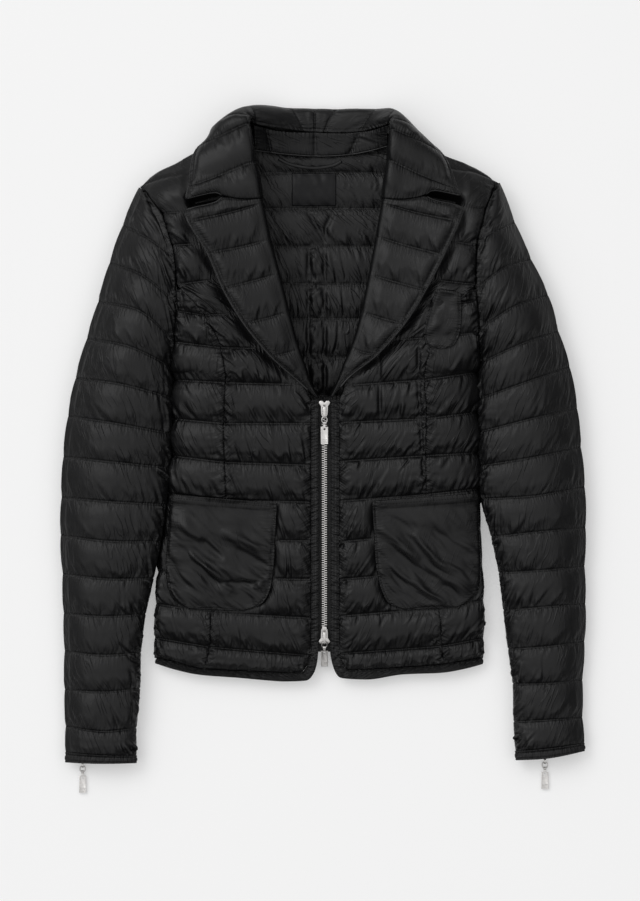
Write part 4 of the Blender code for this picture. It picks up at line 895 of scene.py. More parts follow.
# Seams. Columns: outer x, y; half way x, y; inner x, y; lowest and highest point over the table.
SLEEVES = {
    "right": (
        (-199, 278, -194.6, 275.6, -190.8, 272, 20, 34),
        (-216, 238, -191, 226, -161, 204, 0, 49),
        (-230, 198, -196, 186, -158, 156, 0, 53),
        (-242, 157, -196, 147, -158, 116, 0, 53),
        (-254, 118, -209, 110, -160.9, 88, 0, 51),
        (-266, 76, -218, 70, -161.4, 55, 0, 49),
        (-274, 36, -226, 29, -162.4, 17, 0, 47),
        (-279, -7, -230, -12, -164.3, -19, 0, 45),
        (-281, -50, -233, -54, -168.0, -58, 0, 43),
        (-282, -90, -233, -96, -173.6, -97, 0, 41),
        (-280, -131, -233, -136, -181.5, -136, 0, 38),
        (-279, -173, -233, -176, -190, -174, 0, 35),
        (-278, -213, -236, -217, -195, -215, 0, 32),
        (-278, -254, -235, -256, -196, -253, 0, 29),
        (-277, -293, -235, -298, -200, -295, 0, 27),
        (-277, -321, -238, -323.5, -200, -324.5, 4.6, 26),
    ),
    "left": (
        (186.9, 283.0, 183.6, 280.2, 178.9, 275.4, 20, 34),
        (203, 241, 182, 232, 162, 223, 0, 49),
        (220, 202, 194, 195, 159, 172, 0, 53),
        (238, 164, 201, 152, 162, 128, 0, 53),
        (249, 126, 210, 113, 162.4, 92, 0, 51),
        (261, 88, 216, 73, 162.2, 54, 0, 49),
        (269, 44, 222, 34, 162.5, 19, 0, 47),
        (273, 3, 224, -7, 163.2, -17, 0, 45),
        (277, -39, 225, -48, 165.0, -52, 0, 43),
        (278, -82, 230, -86, 176, -92, 0, 41),
        (277, -123, 232, -127, 184, -130, 0, 38),
        (278, -163, 232, -166, 189, -170, 0, 35),
        (277, -203, 234, -208, 194, -211, 0, 32),
        (275, -244, 236, -247, 199, -248, 0, 29),
        (275, -284, 236, -286, 200, -288, 0, 27),
        (277, -311.5, 236, -316.5, 202, -319.5, 4.6, 26),
    ),
}
UNDERARM_SEAM = 5  # the first seam that goes all the way round
ARMHOLE_GAP = 1.8
OUTLINE_IN = 2.0  # the seams lie this far inside the outline that the channels swell to
SLEEVE_ROWS = 28
AROUND, FOLD = 121, 90  # points round a sleeve, and the one at the outer fold: most are on top


def sleeve_grid(side, table, steps, open_rows=0):
    """Rings from the front armhole seam over the outer fold to the back armhole seam."""
    sign = -1 if side == "right" else 1
    edge = smooth(OUTER_EDGE[side])
    rings = []
    for k, (ox, oy, mx, my, ix, iy, low, high) in enumerate(table):
        centre = low + 0.48 * (high - low)
        first = last = math.radians(11)
        if k < open_rows:
            ix = edge(iy) + sign * ARMHOLE_GAP
            top, foot = middle_height(iy) + armhole(iy), middle_height(iy) - armhole(iy, ARMHOLE_FOOT, 0.7)
            first = math.asin(np.clip((top - centre) / (high - centre), 0.1, 0.95) ** (1 / 0.75))
            last = math.asin(np.clip((centre - foot) / (centre - low) / 1.2, 0.1, 0.95) ** (1 / 0.75))
        turns = np.concatenate([
            np.linspace(first, math.pi, FOLD + 1), np.linspace(math.pi, 2 * math.pi - last, AROUND - FOLD)[1:],
        ])
        share = np.concatenate([
            (1 + np.cos(turns[: FOLD + 1])) / (1 + math.cos(first)),
            (1 + np.cos(turns[FOLD + 1 :])) / (1 + math.cos(last)),
        ])
        line = through([(ox - sign * OUTLINE_IN, oy), (mx, my), (ix, iy)], share)
        lift = np.abs(np.sin(turns)) ** 0.75
        flat_fold = 1 - np.abs(np.cos(turns)) ** np.clip(0.95 * abs(ox - mx) / (high - centre), 1.7, 2.6)
        lift = np.where((turns > math.pi / 2) & (turns <= math.pi), flat_fold, lift)
        z = np.where(turns < math.pi, centre + (high - centre) * lift, centre - (centre - low) * 1.2 * lift)
        rings.append(np.column_stack([line, np.maximum(z, low)]))
    rings = np.array(rings)
    fine = np.linspace(0, len(rings) - 1, (len(rings) - 1) * steps + 1)
    fine = fine - 0.05 * np.sin(2 * np.pi * fine)
    grid = between_rows(rings, fine, True)
    grid[:, :, 2] = np.maximum(grid[:, :, 2], 0)
    if open_rows:
        y = grid[: (open_rows - 1) * steps + 1, 0, 1]
        for column, rise in ((0, armhole(y)), (-1, -armhole(y, ARMHOLE_FOOT, 0.7))):
            shift = edge(y) + sign * (ARMHOLE_GAP if column else ARMHOLE_GAP / 2) - grid[: len(y), column, 0]
            lower = middle_height(y) + rise - grid[: len(y), column, 2]
            for k in range(6):
                near = grid[: len(y), k if column == 0 else -1 - k]
                near[:, 0] += shift * (1 - k / 6)
                near[:, 2] += lower * (1 - k / 6)
            grid[: len(y), column, 1] = y
    return grid


for number, side in enumerate(("right", "left")):
    grid = sleeve_grid(side, SLEEVES[side], SLEEVE_ROWS, UNDERARM_SEAM)
    out = normals(grid, (-1 if side == "right" else 1, 0, 0))
    quilt = Quilt(grid, SLEEVE_ROWS, 41 + number)
    clear = ramp(grid[:, :, 2] / 9) ** 1.5
    on_top = np.arange(AROUND) <= FOLD
    tucked = np.sin(np.pi * ramp((np.arange(AROUND) - FOLD - 12) / (AROUND - FOLD - 13))) ** 2
    closed = ramp((grid[:, :1, 1] + (140 if side == "right" else 55)) / 20) * (grid[:, :1, 1] < 84)
    grid[:, :, 0] += (1 if side == "right" else -1) * 2.6 * tucked * closed
    from_fold = np.linalg.norm(grid[:, :, :2] - grid[:, FOLD : FOLD + 1, :2], axis=2)
    lift = 0.62 * SWELL * quilt.swell((16, 0, 0), (16, 0, 0), -0.4) * (1 - 0.72 * bell(from_fold, 16))
    small = quilt.puckers(1.0, -0.5) + quilt.folds(4.5, 1.9, -0.5, 1.0, 0.3) + quilt.gathers(grid[:, :, 1], 14, 1.3)
    ridge = bell(from_fold - 7.5, 1.6) * ramp(0.6 + ripple(quilt.down / 60, 3, 47 + number))
    level = np.abs(out[:, :, 2])
    small *= np.clip(level / 0.75, 0.1, 1) ** 2 * (0.25 + 0.75 * ramp(from_fold / 45) ** 1.5)
    lift += small * (0.35 + 0.65 * on_top) + (0.9 if side == "right" else 0.2) * ridge * on_top
    lift += quilt.groove() * np.clip(level / 0.6, 0.1, 1)
    lift *= clear
    surface = grid + out * lift[:, :, None]
    surface[:, :, 2] = np.maximum(surface[:, :, 2], 0)
    quilt.along *= -1
    wall = cloth_wall(
        f"sleeve_{side}_quilted", surface, grid - out * CLOTH, (14, 6), quilted_taffeta, quilt,
        ring_from=UNDERARM_SEAM * SLEEVE_ROWS,
    )
    sewn_in(wall, f"sleeve_{side}")
    quilt_lines += [surface[k * SLEEVE_ROWS, 4 : FOLD + 4] for k in range(1, 15)]

# ---- The cuffs
# A plain band of the same taffeta, folded double and stitched twice round each sleeve end. The short zip
# that opens it lies underneath, and only its pull hangs out.

# Columns as for the sleeves, from the sleeve's end to the cuff's edge.
CUFFS = {
    "right": (
        (-277, -320.3, -238, -323.0, -200, -324.0, 4.6, 26),
        (-277.5, -331.5, -238, -332.5, -200, -332, 4.6, 25),
    ),
    "left": (
        (277, -310.8, 236, -316.0, 202, -319.0, 4.6, 26),
        (277.5, -319.5, 235, -327, 202.5, -329, 4.6, 25),
    ),
}
band_taffeta = taffeta("folded_nylon_taffeta", "09090a", 0.42, pinch=1.6, rumple=0.5, ladder=2.6)
edge_lines = []  # where the top stitching runs

for number, side in enumerate(("right", "left")):
    grid = sleeve_grid(side, CUFFS[side], 16)
    out = normals(grid, (-1 if side == "right" else 1, 0, 0))
    quilt = Quilt(grid, 16, 51 + number)
    down = np.linspace(0, 1, 17)[:, None]
    stitched = bell((down - 0.30) * 8, 0.8) + bell((down - 0.78) * 8, 0.8)
    lift = 1.0 * np.sin(np.pi * down) ** 0.5 - 0.7 * stitched
    lift = lift + 0.35 * ripple(quilt.along / 3.8, down * 1.5, 55 + number) * np.sin(np.pi * down)
    surface = grid + out * lift[:, :, None]
    wall = cloth_wall(
        f"cuff_{side}_band", surface, grid - out * CLOTH, (4, 6), band_taffeta, quilt, ring_from=0
    )
    sewn_in(wall, f"cuff_{side}")
    edge_lines += [surface[5, 4 : FOLD + 4], surface[12, 4 : FOLD + 4]]

# ---- The lapels
# The fronts' facings, quilted like the fronts and turned back over the roll line. The edge is piped and
# top stitched.

# Seams from the roll line to the outer edge: x, y of each point. The first one is the gorge and the notch.
LAPELS = {
    "right": (
        (-66.5, 264.5, -86, 263.8, -102, 266, -108.3, 266.2, -113, 262, -122, 258.8, -136.4, 255.7, -146.5, 253),
        (-65.5, 260, -97, 251, -144, 240),
        (-57.5, 222, -88, 214, -124, 207),
        (-48, 186, -76, 178, -108, 170),
        (-38, 146, -60, 139, -86, 133),
        (-28, 107, -41, 102, -58, 99),
        (-19, 76, -23, 73.5, -28, 72),
        (-8.2, 55, -8.7, 55, -9.2, 55),
    ),
    "left": (
        (61, 264.5, 84, 263.8, 99, 266.3, 106.2, 267.2, 110.5, 264.8, 117, 262.4, 135.4, 258.5, 145.5, 254.8),
        (60, 260, 96, 250, 141, 240),
        (54, 225, 87, 215, 125, 205),
        (46.5, 185, 74, 177, 106, 168),
        (38.5, 146, 59, 139, 83.5, 132),
        (28.5, 108, 40, 103, 55, 100),
        (18, 80, 22, 78, 26, 77),
        (6.3, 55, 6.8, 55, 7.3, 55),
    ),
}
LAPEL_ROWS = 28
LIE = 2.4  # height of a lapel's underside over the seams of the front below it
LIFTED = 7.0  # and how much more at its free edge
EDGE_STITCH = 3.4  # from a piped edge to its stitching


def inset(surface, distance):
    """The line on a surface that runs at a distance from its last column."""
    along = lengths(surface, 1)
    return np.array([
        [np.interp(run[-1] - distance, run, axis) for axis in row.T] for run, row in zip(along, surface)
    ])


lapel_taffeta = taffeta("interfaced_nylon_taffeta", "09090a", 0.41, rumple=0.35)  # smoother, for its interfacing
piped = []  # edges that are piped
for number, side in enumerate(("right", "left")):
    flat = loft([[row[i : i + 2] for i in range(0, len(row), 2)] for row in LAPELS[side]], 25, LAPEL_ROWS)
    turn = flat[:, 0] - flat[:, 1]
    turn /= np.linalg.norm(turn, axis=1, keepdims=True)
    width = np.linalg.norm(flat[:, -1] - flat[:, 0], axis=1)
    shift = np.minimum(CLOTH + 1, 0.75 * width / 7)
    for k in range(4):
        flat[:, k] -= turn * (shift * (1 - k / 4))[:, None]
    under = np.dstack([flat, over_front(side, flat[:, :, 0], flat[:, :, 1]) + LIE])
    free = ramp(width / 38) * np.clip(np.arange(len(flat)) / LAPEL_ROWS, 0.25, 1)
    under[:, :, 2] += LIFTED * free[:, None] * np.linspace(0, 1, 25) ** 2
    fold = [
        np.column_stack([flat[:, 0] + turn * reach, under[:, 0, 2] - LIE + 0.3 - drop])
        for reach, drop in ((1.2, CLOTH + 0.9), (1.6, CLOTH * 0.3))
    ]
    control = np.concatenate([np.stack(fold, 1), under], axis=1)
    places = np.concatenate([np.linspace(0, 2, 8)[:-1], np.linspace(2, 26, 60)])
    under = between_rows(control.transpose(1, 0, 2), places).transpose(1, 0, 2)
    out = normals(under, (0, 0, 1))
    quilt = Quilt(under, LAPEL_ROWS, 61 + number, edges=(False, True))
    rolled = np.clip(quilt.along / 20, 0.05, 1)
    rolled = rolled * rolled * (3 - 2 * rolled)
    lift = 0.75 * SWELL * quilt.swell((9, 0.6, -2), (9, 0, EDGE_STITCH)) * rolled
    small = 0.7 * quilt.puckers() + quilt.folds(11, 0.9, 0.5, 0.3, 0.13) + quilt.gathers(under[:, :, 1], 5, 0.5)
    lift += (small * ramp(quilt.from_edge / 3) + quilt.groove(1.1, 0.8, 0.1)) * rolled
    stitched = bell(quilt.from_edge - EDGE_STITCH, 0.8)
    lift = np.maximum(lift - 0.5 * stitched, -0.8)
    thin = np.clip(width / 14, 0.25, 1)[:, None]
    surface = under + out * ((CLOTH + lift) * thin)[:, :, None]
    wall = cloth_wall(f"lapel_{side}_quilted", surface, under, (14, 6), lapel_taffeta, quilt)
    sewn_in(wall, f"lapel_{side}")
    quilt_lines += [surface[k * LAPEL_ROWS, 8:] for k in range(1, 6)]
    edge_lines.append(inset(surface, EDGE_STITCH)[6:-20])
    middle = (surface + under) / 2
    notch = np.abs(middle[0, :, 0]) > 106.5
    piped.append(np.concatenate([middle[0][notch][:-1], middle[:-14, -1]]))

# ---- The collar
# The collar's fall, cut in one with the gorge: it stands round the neck, folds over and lies on the
# shoulders. Quilted, piped and top stitched like the lapels.

# Seams from the right notch round the back of the neck to the left notch: x, y, z points on the
# outside of the cloth, from the roll or stand seam over the fold.
COLLAR_SEAMS = (
    (
        (-65, 265.4, 50), (-68, 265.2, 57), (-87, 264.6, 57), (-102, 266.7, 57), (-108.5, 268.8, 57),
        (-113, 271.3, 57), (-119, 271.4, 57), (-127, 269.8, 57), (-147, 264.8, 56),
    ),
    ((-72, 303, 50), (-75.5, 303, 57), (-93, 297, 57), (-110, 290, 56), (-128, 283, 55), (-144, 278, 53)),
    ((-79, 344, 48), (-82, 344, 55), (-94, 339, 55), (-109, 332, 51), (-125, 325, 46), (-136, 319, 40)),
    ((-76, 351, 42), (-80, 353, 48), (-98, 354, 47), (-113, 347, 38), (-117, 343, 25), (-105, 334, 8)),
    ((-72, 344.5, 33), (-74, 355, 38), (-78, 363, 32), (-80, 364.5, 18), (-78, 360, 6), (-75, 344, 0)),
    ((-22, 338, 13.6), (-28, 350.5, 16), (-35, 360.5, 13), (-40, 363.3, 7), (-40, 357.3, 0.5), (-40, 327.5, 0)),
    ((-11, 337.5, 13), (-11, 350, 14.5), (-11, 359.5, 12), (-11, 362.5, 7), (-11, 357, 0.5), (-11, 326, 0)),
    ((-1, 337, 13), (4, 349.5, 14.5), (10, 359, 12), (14, 362, 7), (14, 356.5, 0.5), (14, 326, 0)),
    ((37, 337.7, 14.5), (44, 350, 17), (52, 360, 15), (54, 362.2, 8), (54, 356.2, 0.6), (54, 329, 0)),
    ((65, 344.5, 33), (68, 353, 38), (73, 359, 32), (75, 360, 18), (73, 356, 6), (71, 343, 0)),
    ((69, 350, 42), (72, 350, 48), (84, 347, 47), (96, 340, 38), (100, 337, 25), (95, 336, 10)),
    ((68, 338, 48), (71, 338, 55), (84, 333, 55), (99, 327, 51), (114, 319, 46), (125, 313, 40)),
    ((65, 305, 50), (68, 305, 57), (84, 298, 57), (101, 290, 56), (121, 282, 55), (140, 275, 53)),
    (
        (59, 265.4, 50), (62, 265.2, 57), (84, 264.6, 57), (99, 267.0, 57), (106.2, 269.6, 57), (110.5, 273, 57),
        (116, 273.8, 57), (126, 272.2, 57), (142.5, 269, 56),
    ),
)
COLLAR_ROWS = 20


def facing_out(grid):
    """Normals of the collar that point up where it lies on the shoulders."""
    out = normals(grid, (0, 0, 1))
    return -out if out[len(grid) // 2, 6, 2] < 0 else out


grid = loft(COLLAR_SEAMS, 61, COLLAR_ROWS)
out = facing_out(grid)
for side, rows in (("right", range(len(grid) // 2)), ("left", range(len(grid) - 1, len(grid) // 2, -1))):
    part = np.array(rows)
    under = grid[part] - out[part] * CLOTH
    x, y = under[:, :, 0], under[:, :, 1]
    on_front = y < smooth(SHOULDER[side])(x) - 1
    need = np.where(on_front, over_front(side, x, y) + 2.3 - under[:, :, 2], 0)
    raised = np.maximum(need, 0) * ramp((3.4 * COLLAR_ROWS - np.arange(len(part))) / 16)[:, None]
    raised[:, :16] = raised[:, 16:17]
    grid[part, :, 2] += raised
out = facing_out(grid)
quilt = Quilt(grid, COLLAR_ROWS, 71)
plump = 0.75 - 0.3 * np.exp(-((grid[:, :, 0] / 70) ** 4))
lift = plump * SWELL * quilt.swell((9, 0.5, -2), (9, 0, EDGE_STITCH)) + 0.8 * quilt.puckers()
lift = lift + quilt.groove(1.1, 0.8, 0.1) + quilt.folds(10, 0.9, 0.5, 0.3, 0.15)
lift -= 0.5 * bell(quilt.from_edge - EDGE_STITCH, 0.8)
lift = np.maximum(lift, -0.8) * ramp(grid[:, :, 2] / 9)
lift = lift * (0.05 + 0.95 * ramp(out[:, :, 2] / 0.9) ** 1.4)
surface = grid + out * lift[:, :, None]
surface[:, :, 2] = np.maximum(surface[:, :, 2], 0)
wall = cloth_wall("collar_quilted", surface, grid - out * CLOTH, (10, 6), lapel_taffeta, quilt)
sewn_in(wall, "collar")
quilt_lines += [surface[k * COLLAR_ROWS, 2:57] for k in range(1, 13)]
edge_lines.append(inset(surface, EDGE_STITCH)[6:-6])
middle = grid - out * (CLOTH / 2)
free = np.abs(middle[0, :, 0]) > 107, np.abs(middle[-1, :, 0]) > 105.5
piped.append(np.concatenate([middle[0][free[0]][:-1], middle[:, -1], middle[-1][free[1]][:-1][::-1]]))

# ---- The collar stand
# The strip between the collar's roll and the neck seam, inside the back neck. It is of the same padded
# taffeta, quilted in short slanting channels and sewn to the back along the neck seam.

# Columns: x, y, z of the top edge, of the neck seam.
STAND_SEAMS = (
    (-76, 344, 33, -75, 319.5, 21),
    (-58, 339.9, 22, -58, 317, 14.4),
    (-35, 337.5, 15.2, -35, 314.8, 9.4),
    (-8, 336.8, 12.6, -8, 313.2, 7.8),
    (22, 336.4, 12.6, 22, 314.5, 7.8),
    (45, 338.3, 16.2, 42, 317.5, 10.8),
    (57, 341.0, 23, 55, 320.5, 15),
    (67, 344, 32, 67, 324, 21),
)
# The quilting across it, each from x, y to x, y.
STAND_TUCKS = (((-63, 341), (-57, 316)), ((-10.6, 340), (-10.6, 310)), ((39, 340), (25, 312)))

seams = [[row[:3], tuple((a + b) / 2 for a, b in zip(row[:3], row[3:])), row[3:]] for row in STAND_SEAMS]
grid = loft(seams, 25, 18)
out = normals(grid, (0, 0, 1))
quilt = Quilt(grid, len(grid) - 1, 81)
tuck = off_lines(grid[:, :, 0], grid[:, :, 1], STAND_TUCKS)
lift = 0.55 * SWELL * quarter(tuck / 11) * quarter((quilt.from_edge + 2.5) / 8)
lift += 0.6 * np.exp(-tuck / 5) * ripple(quilt.along / 4, quilt.down / 14, 83) + quilt.folds(8, 1.2, 0.3, 0, 0.4)
surface = grid + out * lift[:, :, None]
wall = cloth_wall("collar_stand_quilted", surface, grid - out * (CLOTH - 0.6), (9, 6), quilted_taffeta, quilt)
sewn_in(wall, "collar_stand")
neck_seam = surface[:, -1]

# ---- The edge bands
# A plain folded strip down each side of the zip, round the corner and along the hem. Its seam is top
# stitched, which draws it into a ladder of small puckers.

PLAIN = 2.2  # a wall without wadding channels

for number, side in enumerate(("right", "left")):
    ends = band_line(side)
    middle = (ends[:, :2] + ends[:, 2:]) / 2
    run = np.concatenate([[0], np.cumsum(np.linalg.norm(np.diff(middle, axis=0), axis=1))])
    even = np.linspace(0, run[-1], 361)
    ends = np.stack([np.interp(even, run, column) for column in ends.T], 1)
    across = np.linspace(0, 1, 13)[None, :, None]
    flat = ends[:, None, :2] * (1 - across) + ends[:, None, 2:] * across
    base = np.dstack([flat, over_front(side, flat[:, :, 0], flat[:, :, 1])])
    out = normals(base, (0, 0, 1))
    quilt = Quilt(base, 360, 91 + number)
    t = across[:, :, 0]
    lift = 1.1 * np.sin(np.pi * t) ** 0.5 - 0.7 * bell(t - 0.17, 0.08)
    lift = lift - 0.6 * bell(t - 0.88, 0.08)
    station = 52 - even[:, None]
    wave = ripple(station / 3.8, -0.46 * t, 5) + 0.8 * ripple(station / 8, 3.3, 6)
    lift = np.clip(lift + 1.1 * wave * ramp(1.15 - t) * ramp(t * 6 + 0.5), -1.0, 2.0)
    surface = base + out * lift[:, :, None]
    wall = cloth_wall(f"edge_band_{side}_folded", surface, base - out * PLAIN, (4, 4), band_taffeta, quilt)
    sewn_in(wall, f"edge_band_{side}")
    edge_lines += [surface[2:-2, 2], surface[2:-2, 11]]

# ---- The pockets
# Plain taffeta patches without quilting, sewn on three sides over the channels, with a double hem at the
# mouth. The loose cloth falls in broad slanting folds.

# Folds. Columns: x, y of each end; height, negative for a valley; width.
POCKET_FOLDS = {
    "right": (
        (-130, -95, -108, -113, -2.2, 3), (-154, -104, -112, -142, -3.0, 3.4), (-144, -108, -106, -138, 2.6, 3.6),
        (-104, -86, -56, -108, 2.4, 4.5), (-122, -122, -58, -140, 2.0, 6), (-124, -138, -60, -141, -2.0, 2.2),
        (-167, -118, -136, -152, -2.4, 3.2), (-164, -144, -150, -162, 1.8, 3), (-90, -104, -62, -122, -1.8, 3),
        (-152, -72, -128, -92, 1.4, 5), (-74, -146, -60, -134, 1.5, 3), (-98, -150, -78, -160, -1.2, 4),
    ),
    "left": (
        (62, -84, 98, -112, 2.4, 4), (70, -100, 112, -140, -2.8, 3.4), (96, -92, 132, -128, 2.2, 4),
        (116, -84, 150, -112, -2.2, 3), (60, -118, 92, -146, -2.0, 3), (84, -132, 124, -158, 2.0, 3),
        (128, -118, 156, -142, 2.0, 4.5), (122, -140, 146, -156, -1.4, 3.5), (72, -72, 96, -84, -1.3, 5),
    ),
}
CHEST_FOLDS = ((101.8, 110, 114.5, 148.4, -1.3, 2.2), (114.5, 148.4, 123.5, 161, -1.2, 2.2))
patch_taffeta = taffeta("patch_nylon_taffeta", "09090a", 0.41, pinch=0.8, rumple=0.5, ladder=1.6)


def topography(surfaces, cell=1.5, reach=2, soft=2):
    """Height, by x and y, of the cloth under what lies on it: the highest point near there, smoothed."""
    points = np.concatenate([surface.reshape(-1, 3) for surface in surfaces])
    low = points[:, :2].min(0) - 2 * cell
    shape = ((points[:, :2].max(0) - low) / cell).astype(int) + 3
    heights = np.full(shape, -99.0)
    i, j = ((points[:, :2] - low) / cell).astype(int).T
    np.maximum.at(heights, (i, j), points[:, 2])
    for _ in range(reach):
        near = [np.roll(heights, step, axis) for axis in (0, 1) for step in (-1, 1)]
        heights = np.maximum.reduce([heights, *near])
    for _ in range(soft):
        near = [np.roll(heights, step, axis) for axis in (0, 1) for step in (-1, 0, 1)]
        heights = sum(near) / 6

    def at(x, y):
        u, v = (np.asarray(x) - low[0]) / cell - 0.5, (np.asarray(y) - low[1]) / cell - 0.5
        a, b = np.clip(u.astype(int), 0, shape[0] - 2), np.clip(v.astype(int), 0, shape[1] - 2)
        s, t = u - a, v - b
        upper = heights[a, b] * (1 - s) + heights[a + 1, b] * s
        lower = heights[a, b + 1] * (1 - s) + heights[a + 1, b + 1] * s
        return upper * (1 - t) + lower * t

    return at


def drape(x, y, folds):
    """Soft folds, each from x, y to x, y with its height and width: gentle on the right, steep on the left."""
    total = np.zeros_like(x)
    for ax, ay, bx, by, height, width in folds:
        length = math.hypot(bx - ax, by - ay)
        ahead, side = ((bx - ax) / length, (by - ay) / length), ((by - ay) / length, (ax - bx) / length)
        bend = 2.0 * ripple((x + y) / 28, (x - y) / 28, abs(ax) + width)
        t = ((x - ax) * ahead[0] + (y - ay) * ahead[1]) / length
        off = ((x - ax) * side[0] + (y - ay) * side[1] + bend) / width
        along = ramp(1 - ((t - 0.5) / 0.62) ** 2)
        total += height * along * np.where(off > 0, bell(off, 1.5), bell(off, 0.8))
    return total


def patch_pocket(name, side, rows, steps, columns, crown, slack, folds, hem, seed):
    """A patch that follows the front below it and rises in folds between its sewn edges."""
    seams = [[row[:2], ((row[0] + row[2]) / 2, (row[1] + row[3]) / 2), row[2:]] for row in rows]
    flat = loft(seams, columns, steps)
    x, y = flat[:, :, 0], flat[:, :, 1]
    under = np.dstack([x, y, front_height[side](x, y) + 0.25])
    plane = np.dstack([x, y, over_front(side, x, y)])
    out = normals(plane, (0, 0, 1))
    quilt = Quilt(plane, len(flat) - 1, seed)
    from_foot = quilt.down[-1:] - quilt.down
    free = np.minimum(quilt.from_edge, from_foot)
    held = quarter(free / 12)
    across, along = 0.64 * x + 0.77 * y, 0.77 * x - 0.64 * y
    across = across + 5 * ripple(along / 30, across / 40, seed + 1)
    broad = 2.0 * ripple(across / 15, along / 48, seed + 2) + 1.2 * ripple(across / 7, along / 26, seed + 3)
    broad = broad + 0.5 * ripple(across / 3.4, along / 14, seed + 4)
    lift = crown * held + (1.5 * drape(x, y, folds) + slack * broad) * np.clip(free / 6, 0.2, 1)
    lift += slack * ripple((x + y) / 4.4, (x - y) / 30, seed + 5) * np.exp(-free / 8) * ramp(free / 2)
    mouth = ramp(quilt.down / hem)
    lift = lift * ramp(quilt.down / (2 * hem) - 0.4) + 0.8 * np.sin(np.pi * mouth) ** 0.6
    lift -= 0.5 * bell(free - 2.6, 0.7)
    thick = 1.0 + (PLAIN - 1.0) * ramp(free / 5)
    surface = under + out * (thick + np.maximum(lift, -0.7))[:, :, None]
    quilt.from_seam = np.minimum(quilt.down, from_foot)
    wall = cloth_wall(name + "_patch", surface, under, (steps, 6), patch_taffeta, quilt)
    sewn_in(wall, name)
    around = np.concatenate([inset(surface[:, ::-1], 2.6), surface[-1:, 6:-6][0], inset(surface, 2.6)[::-1]])
    return surface, around


front_height = {side: topography(front_surfaces[side]) for side in ("right", "left")}
for number, side in enumerate(("right", "left")):
    surface, around = patch_pocket(
        f"pocket_{side}", side, POCKETS[side], 18, 97, 1.5, 1.1, POCKET_FOLDS[side], 9, 101 + 10 * number
    )
    edge_lines += [around, surface[9, 2:-2]]
surface, around = patch_pocket("chest_pocket", "left", CHEST_POCKET, 12, 31, 0.3, 0.35, CHEST_FOLDS, 5, 125)
edge_lines.append(around)

# ---- The piping and the top stitching
# A bias-cut cord of the same nylon is caught in the edge of the collar, the lapels and the neck seam. The
# top stitching and the quilting are black polyester thread, 3 mm to the stitch.


def tube(name, path, radius, material, sides=8):
    """A closed round cord along a path."""
    path = np.array(path, float)
    ahead = np.gradient(path, axis=0)
    ahead /= np.maximum(np.linalg.norm(ahead, axis=1, keepdims=True), 1e-9)
    across = np.cross(ahead, (0, 0, 1))
    across /= np.maximum(np.linalg.norm(across, axis=1, keepdims=True), 1e-9)
    turns = 2 * np.pi * np.arange(sides) / sides
    aside, upwards = np.cos(turns)[None, :, None], np.sin(turns)[None, :, None]
    ring = aside * across[:, None] + upwards * np.cross(across, ahead)[:, None]
    points = (path[:, None] + radius * ring).reshape(-1, 3)
    faces = [tuple(range(sides)), tuple(len(points) - 1 - k for k in range(sides))]
    for i in range(len(path) - 1):
        for k in range(sides):
            n = (k + 1) % sides
            faces.append((i * sides + n, i * sides + k, (i + 1) * sides + k, (i + 1) * sides + n))
    if signed_volume(points, [face for face in faces if len(face) == 4]) < 0:
        faces = [face[::-1] for face in faces]
    piece = as_object(name, points, faces, material)
    run = np.repeat(lengths(path[None], 1)[0], sides)
    values = np.stack([run, np.tile(turns * radius, len(path)), np.zeros(len(points))], 1)
    piece.data.attributes.new("cloth_place", "FLOAT_VECTOR", "POINT").data.foreach_set("vector", values.ravel())
    return piece


def even(path, step):
    """A path again in even steps."""
    run = lengths(np.array(path)[None], 1)[0]
    places = np.linspace(0, run[-1], max(int(run[-1] / step), 2) + 1)
    return np.stack([np.interp(places, run, axis) for axis in np.array(path).T], 1)


# Bias binding: the taffeta cut on the slant and stretched round the cord, so it is smoother and glossier than the
# quilting.
# Its base colour is lighter than the same taffeta's: painted highlight for the light that catches its round edge.
piping_with_painted_highlight, tree, shader = new_material("bias_cut_piping_painted_highlight", "131314", 0.42)
run = add_node(tree, "Attribute", {"attribute_name": "cloth_place"}).outputs["Vector"]
drawn = add_node(tree, "Mapping", Vector=run, Scale=(0.35, 0.8, 1), Rotation=(0, 0, 0.6)).outputs[0]
pull = add_node(tree, "TexNoise", Vector=drawn, Scale=1.0, Detail=3.0).outputs["Fac"]
dented(tree, shader, pull, 0.6, Distance=0.0004)
shader.inputs["Specular IOR Level"].default_value = 0.4

cords = []
for number, path in enumerate(piped):
    path = even(path, 2.2)
    path[1:-1] = (path[:-2] + 2 * path[1:-1] + path[2:]) / 4
    path[:, 2] = np.maximum(path[:, 2], 1.2)
    cords.append(tube(f"piping_{number}", path, 1.15, piping_with_painted_highlight))
neck_cord = tube("piping_neck_seam", even(neck_seam + (0, -0.7, -0.2), 2.2), 0.75, piping_with_painted_highlight)
for cord in (*cords, neck_cord):
    put_on(cord)

# Polyester thread: dull black with a twist, each stitch a short rounded bar.
thread, tree, shader = new_material("black_polyester_thread", "050506", 0.7)
shader.inputs["Specular IOR Level"].default_value = 0.2
place = add_node(tree, "TexCoord").outputs["Object"]
twist = add_node(tree, "TexWave", {"bands_direction": "DIAGONAL"}, Vector=place, Scale=1300.0, Distortion=0.5)
dented(tree, shader, twist.outputs["Fac"], 0.4, Distance=0.00008)


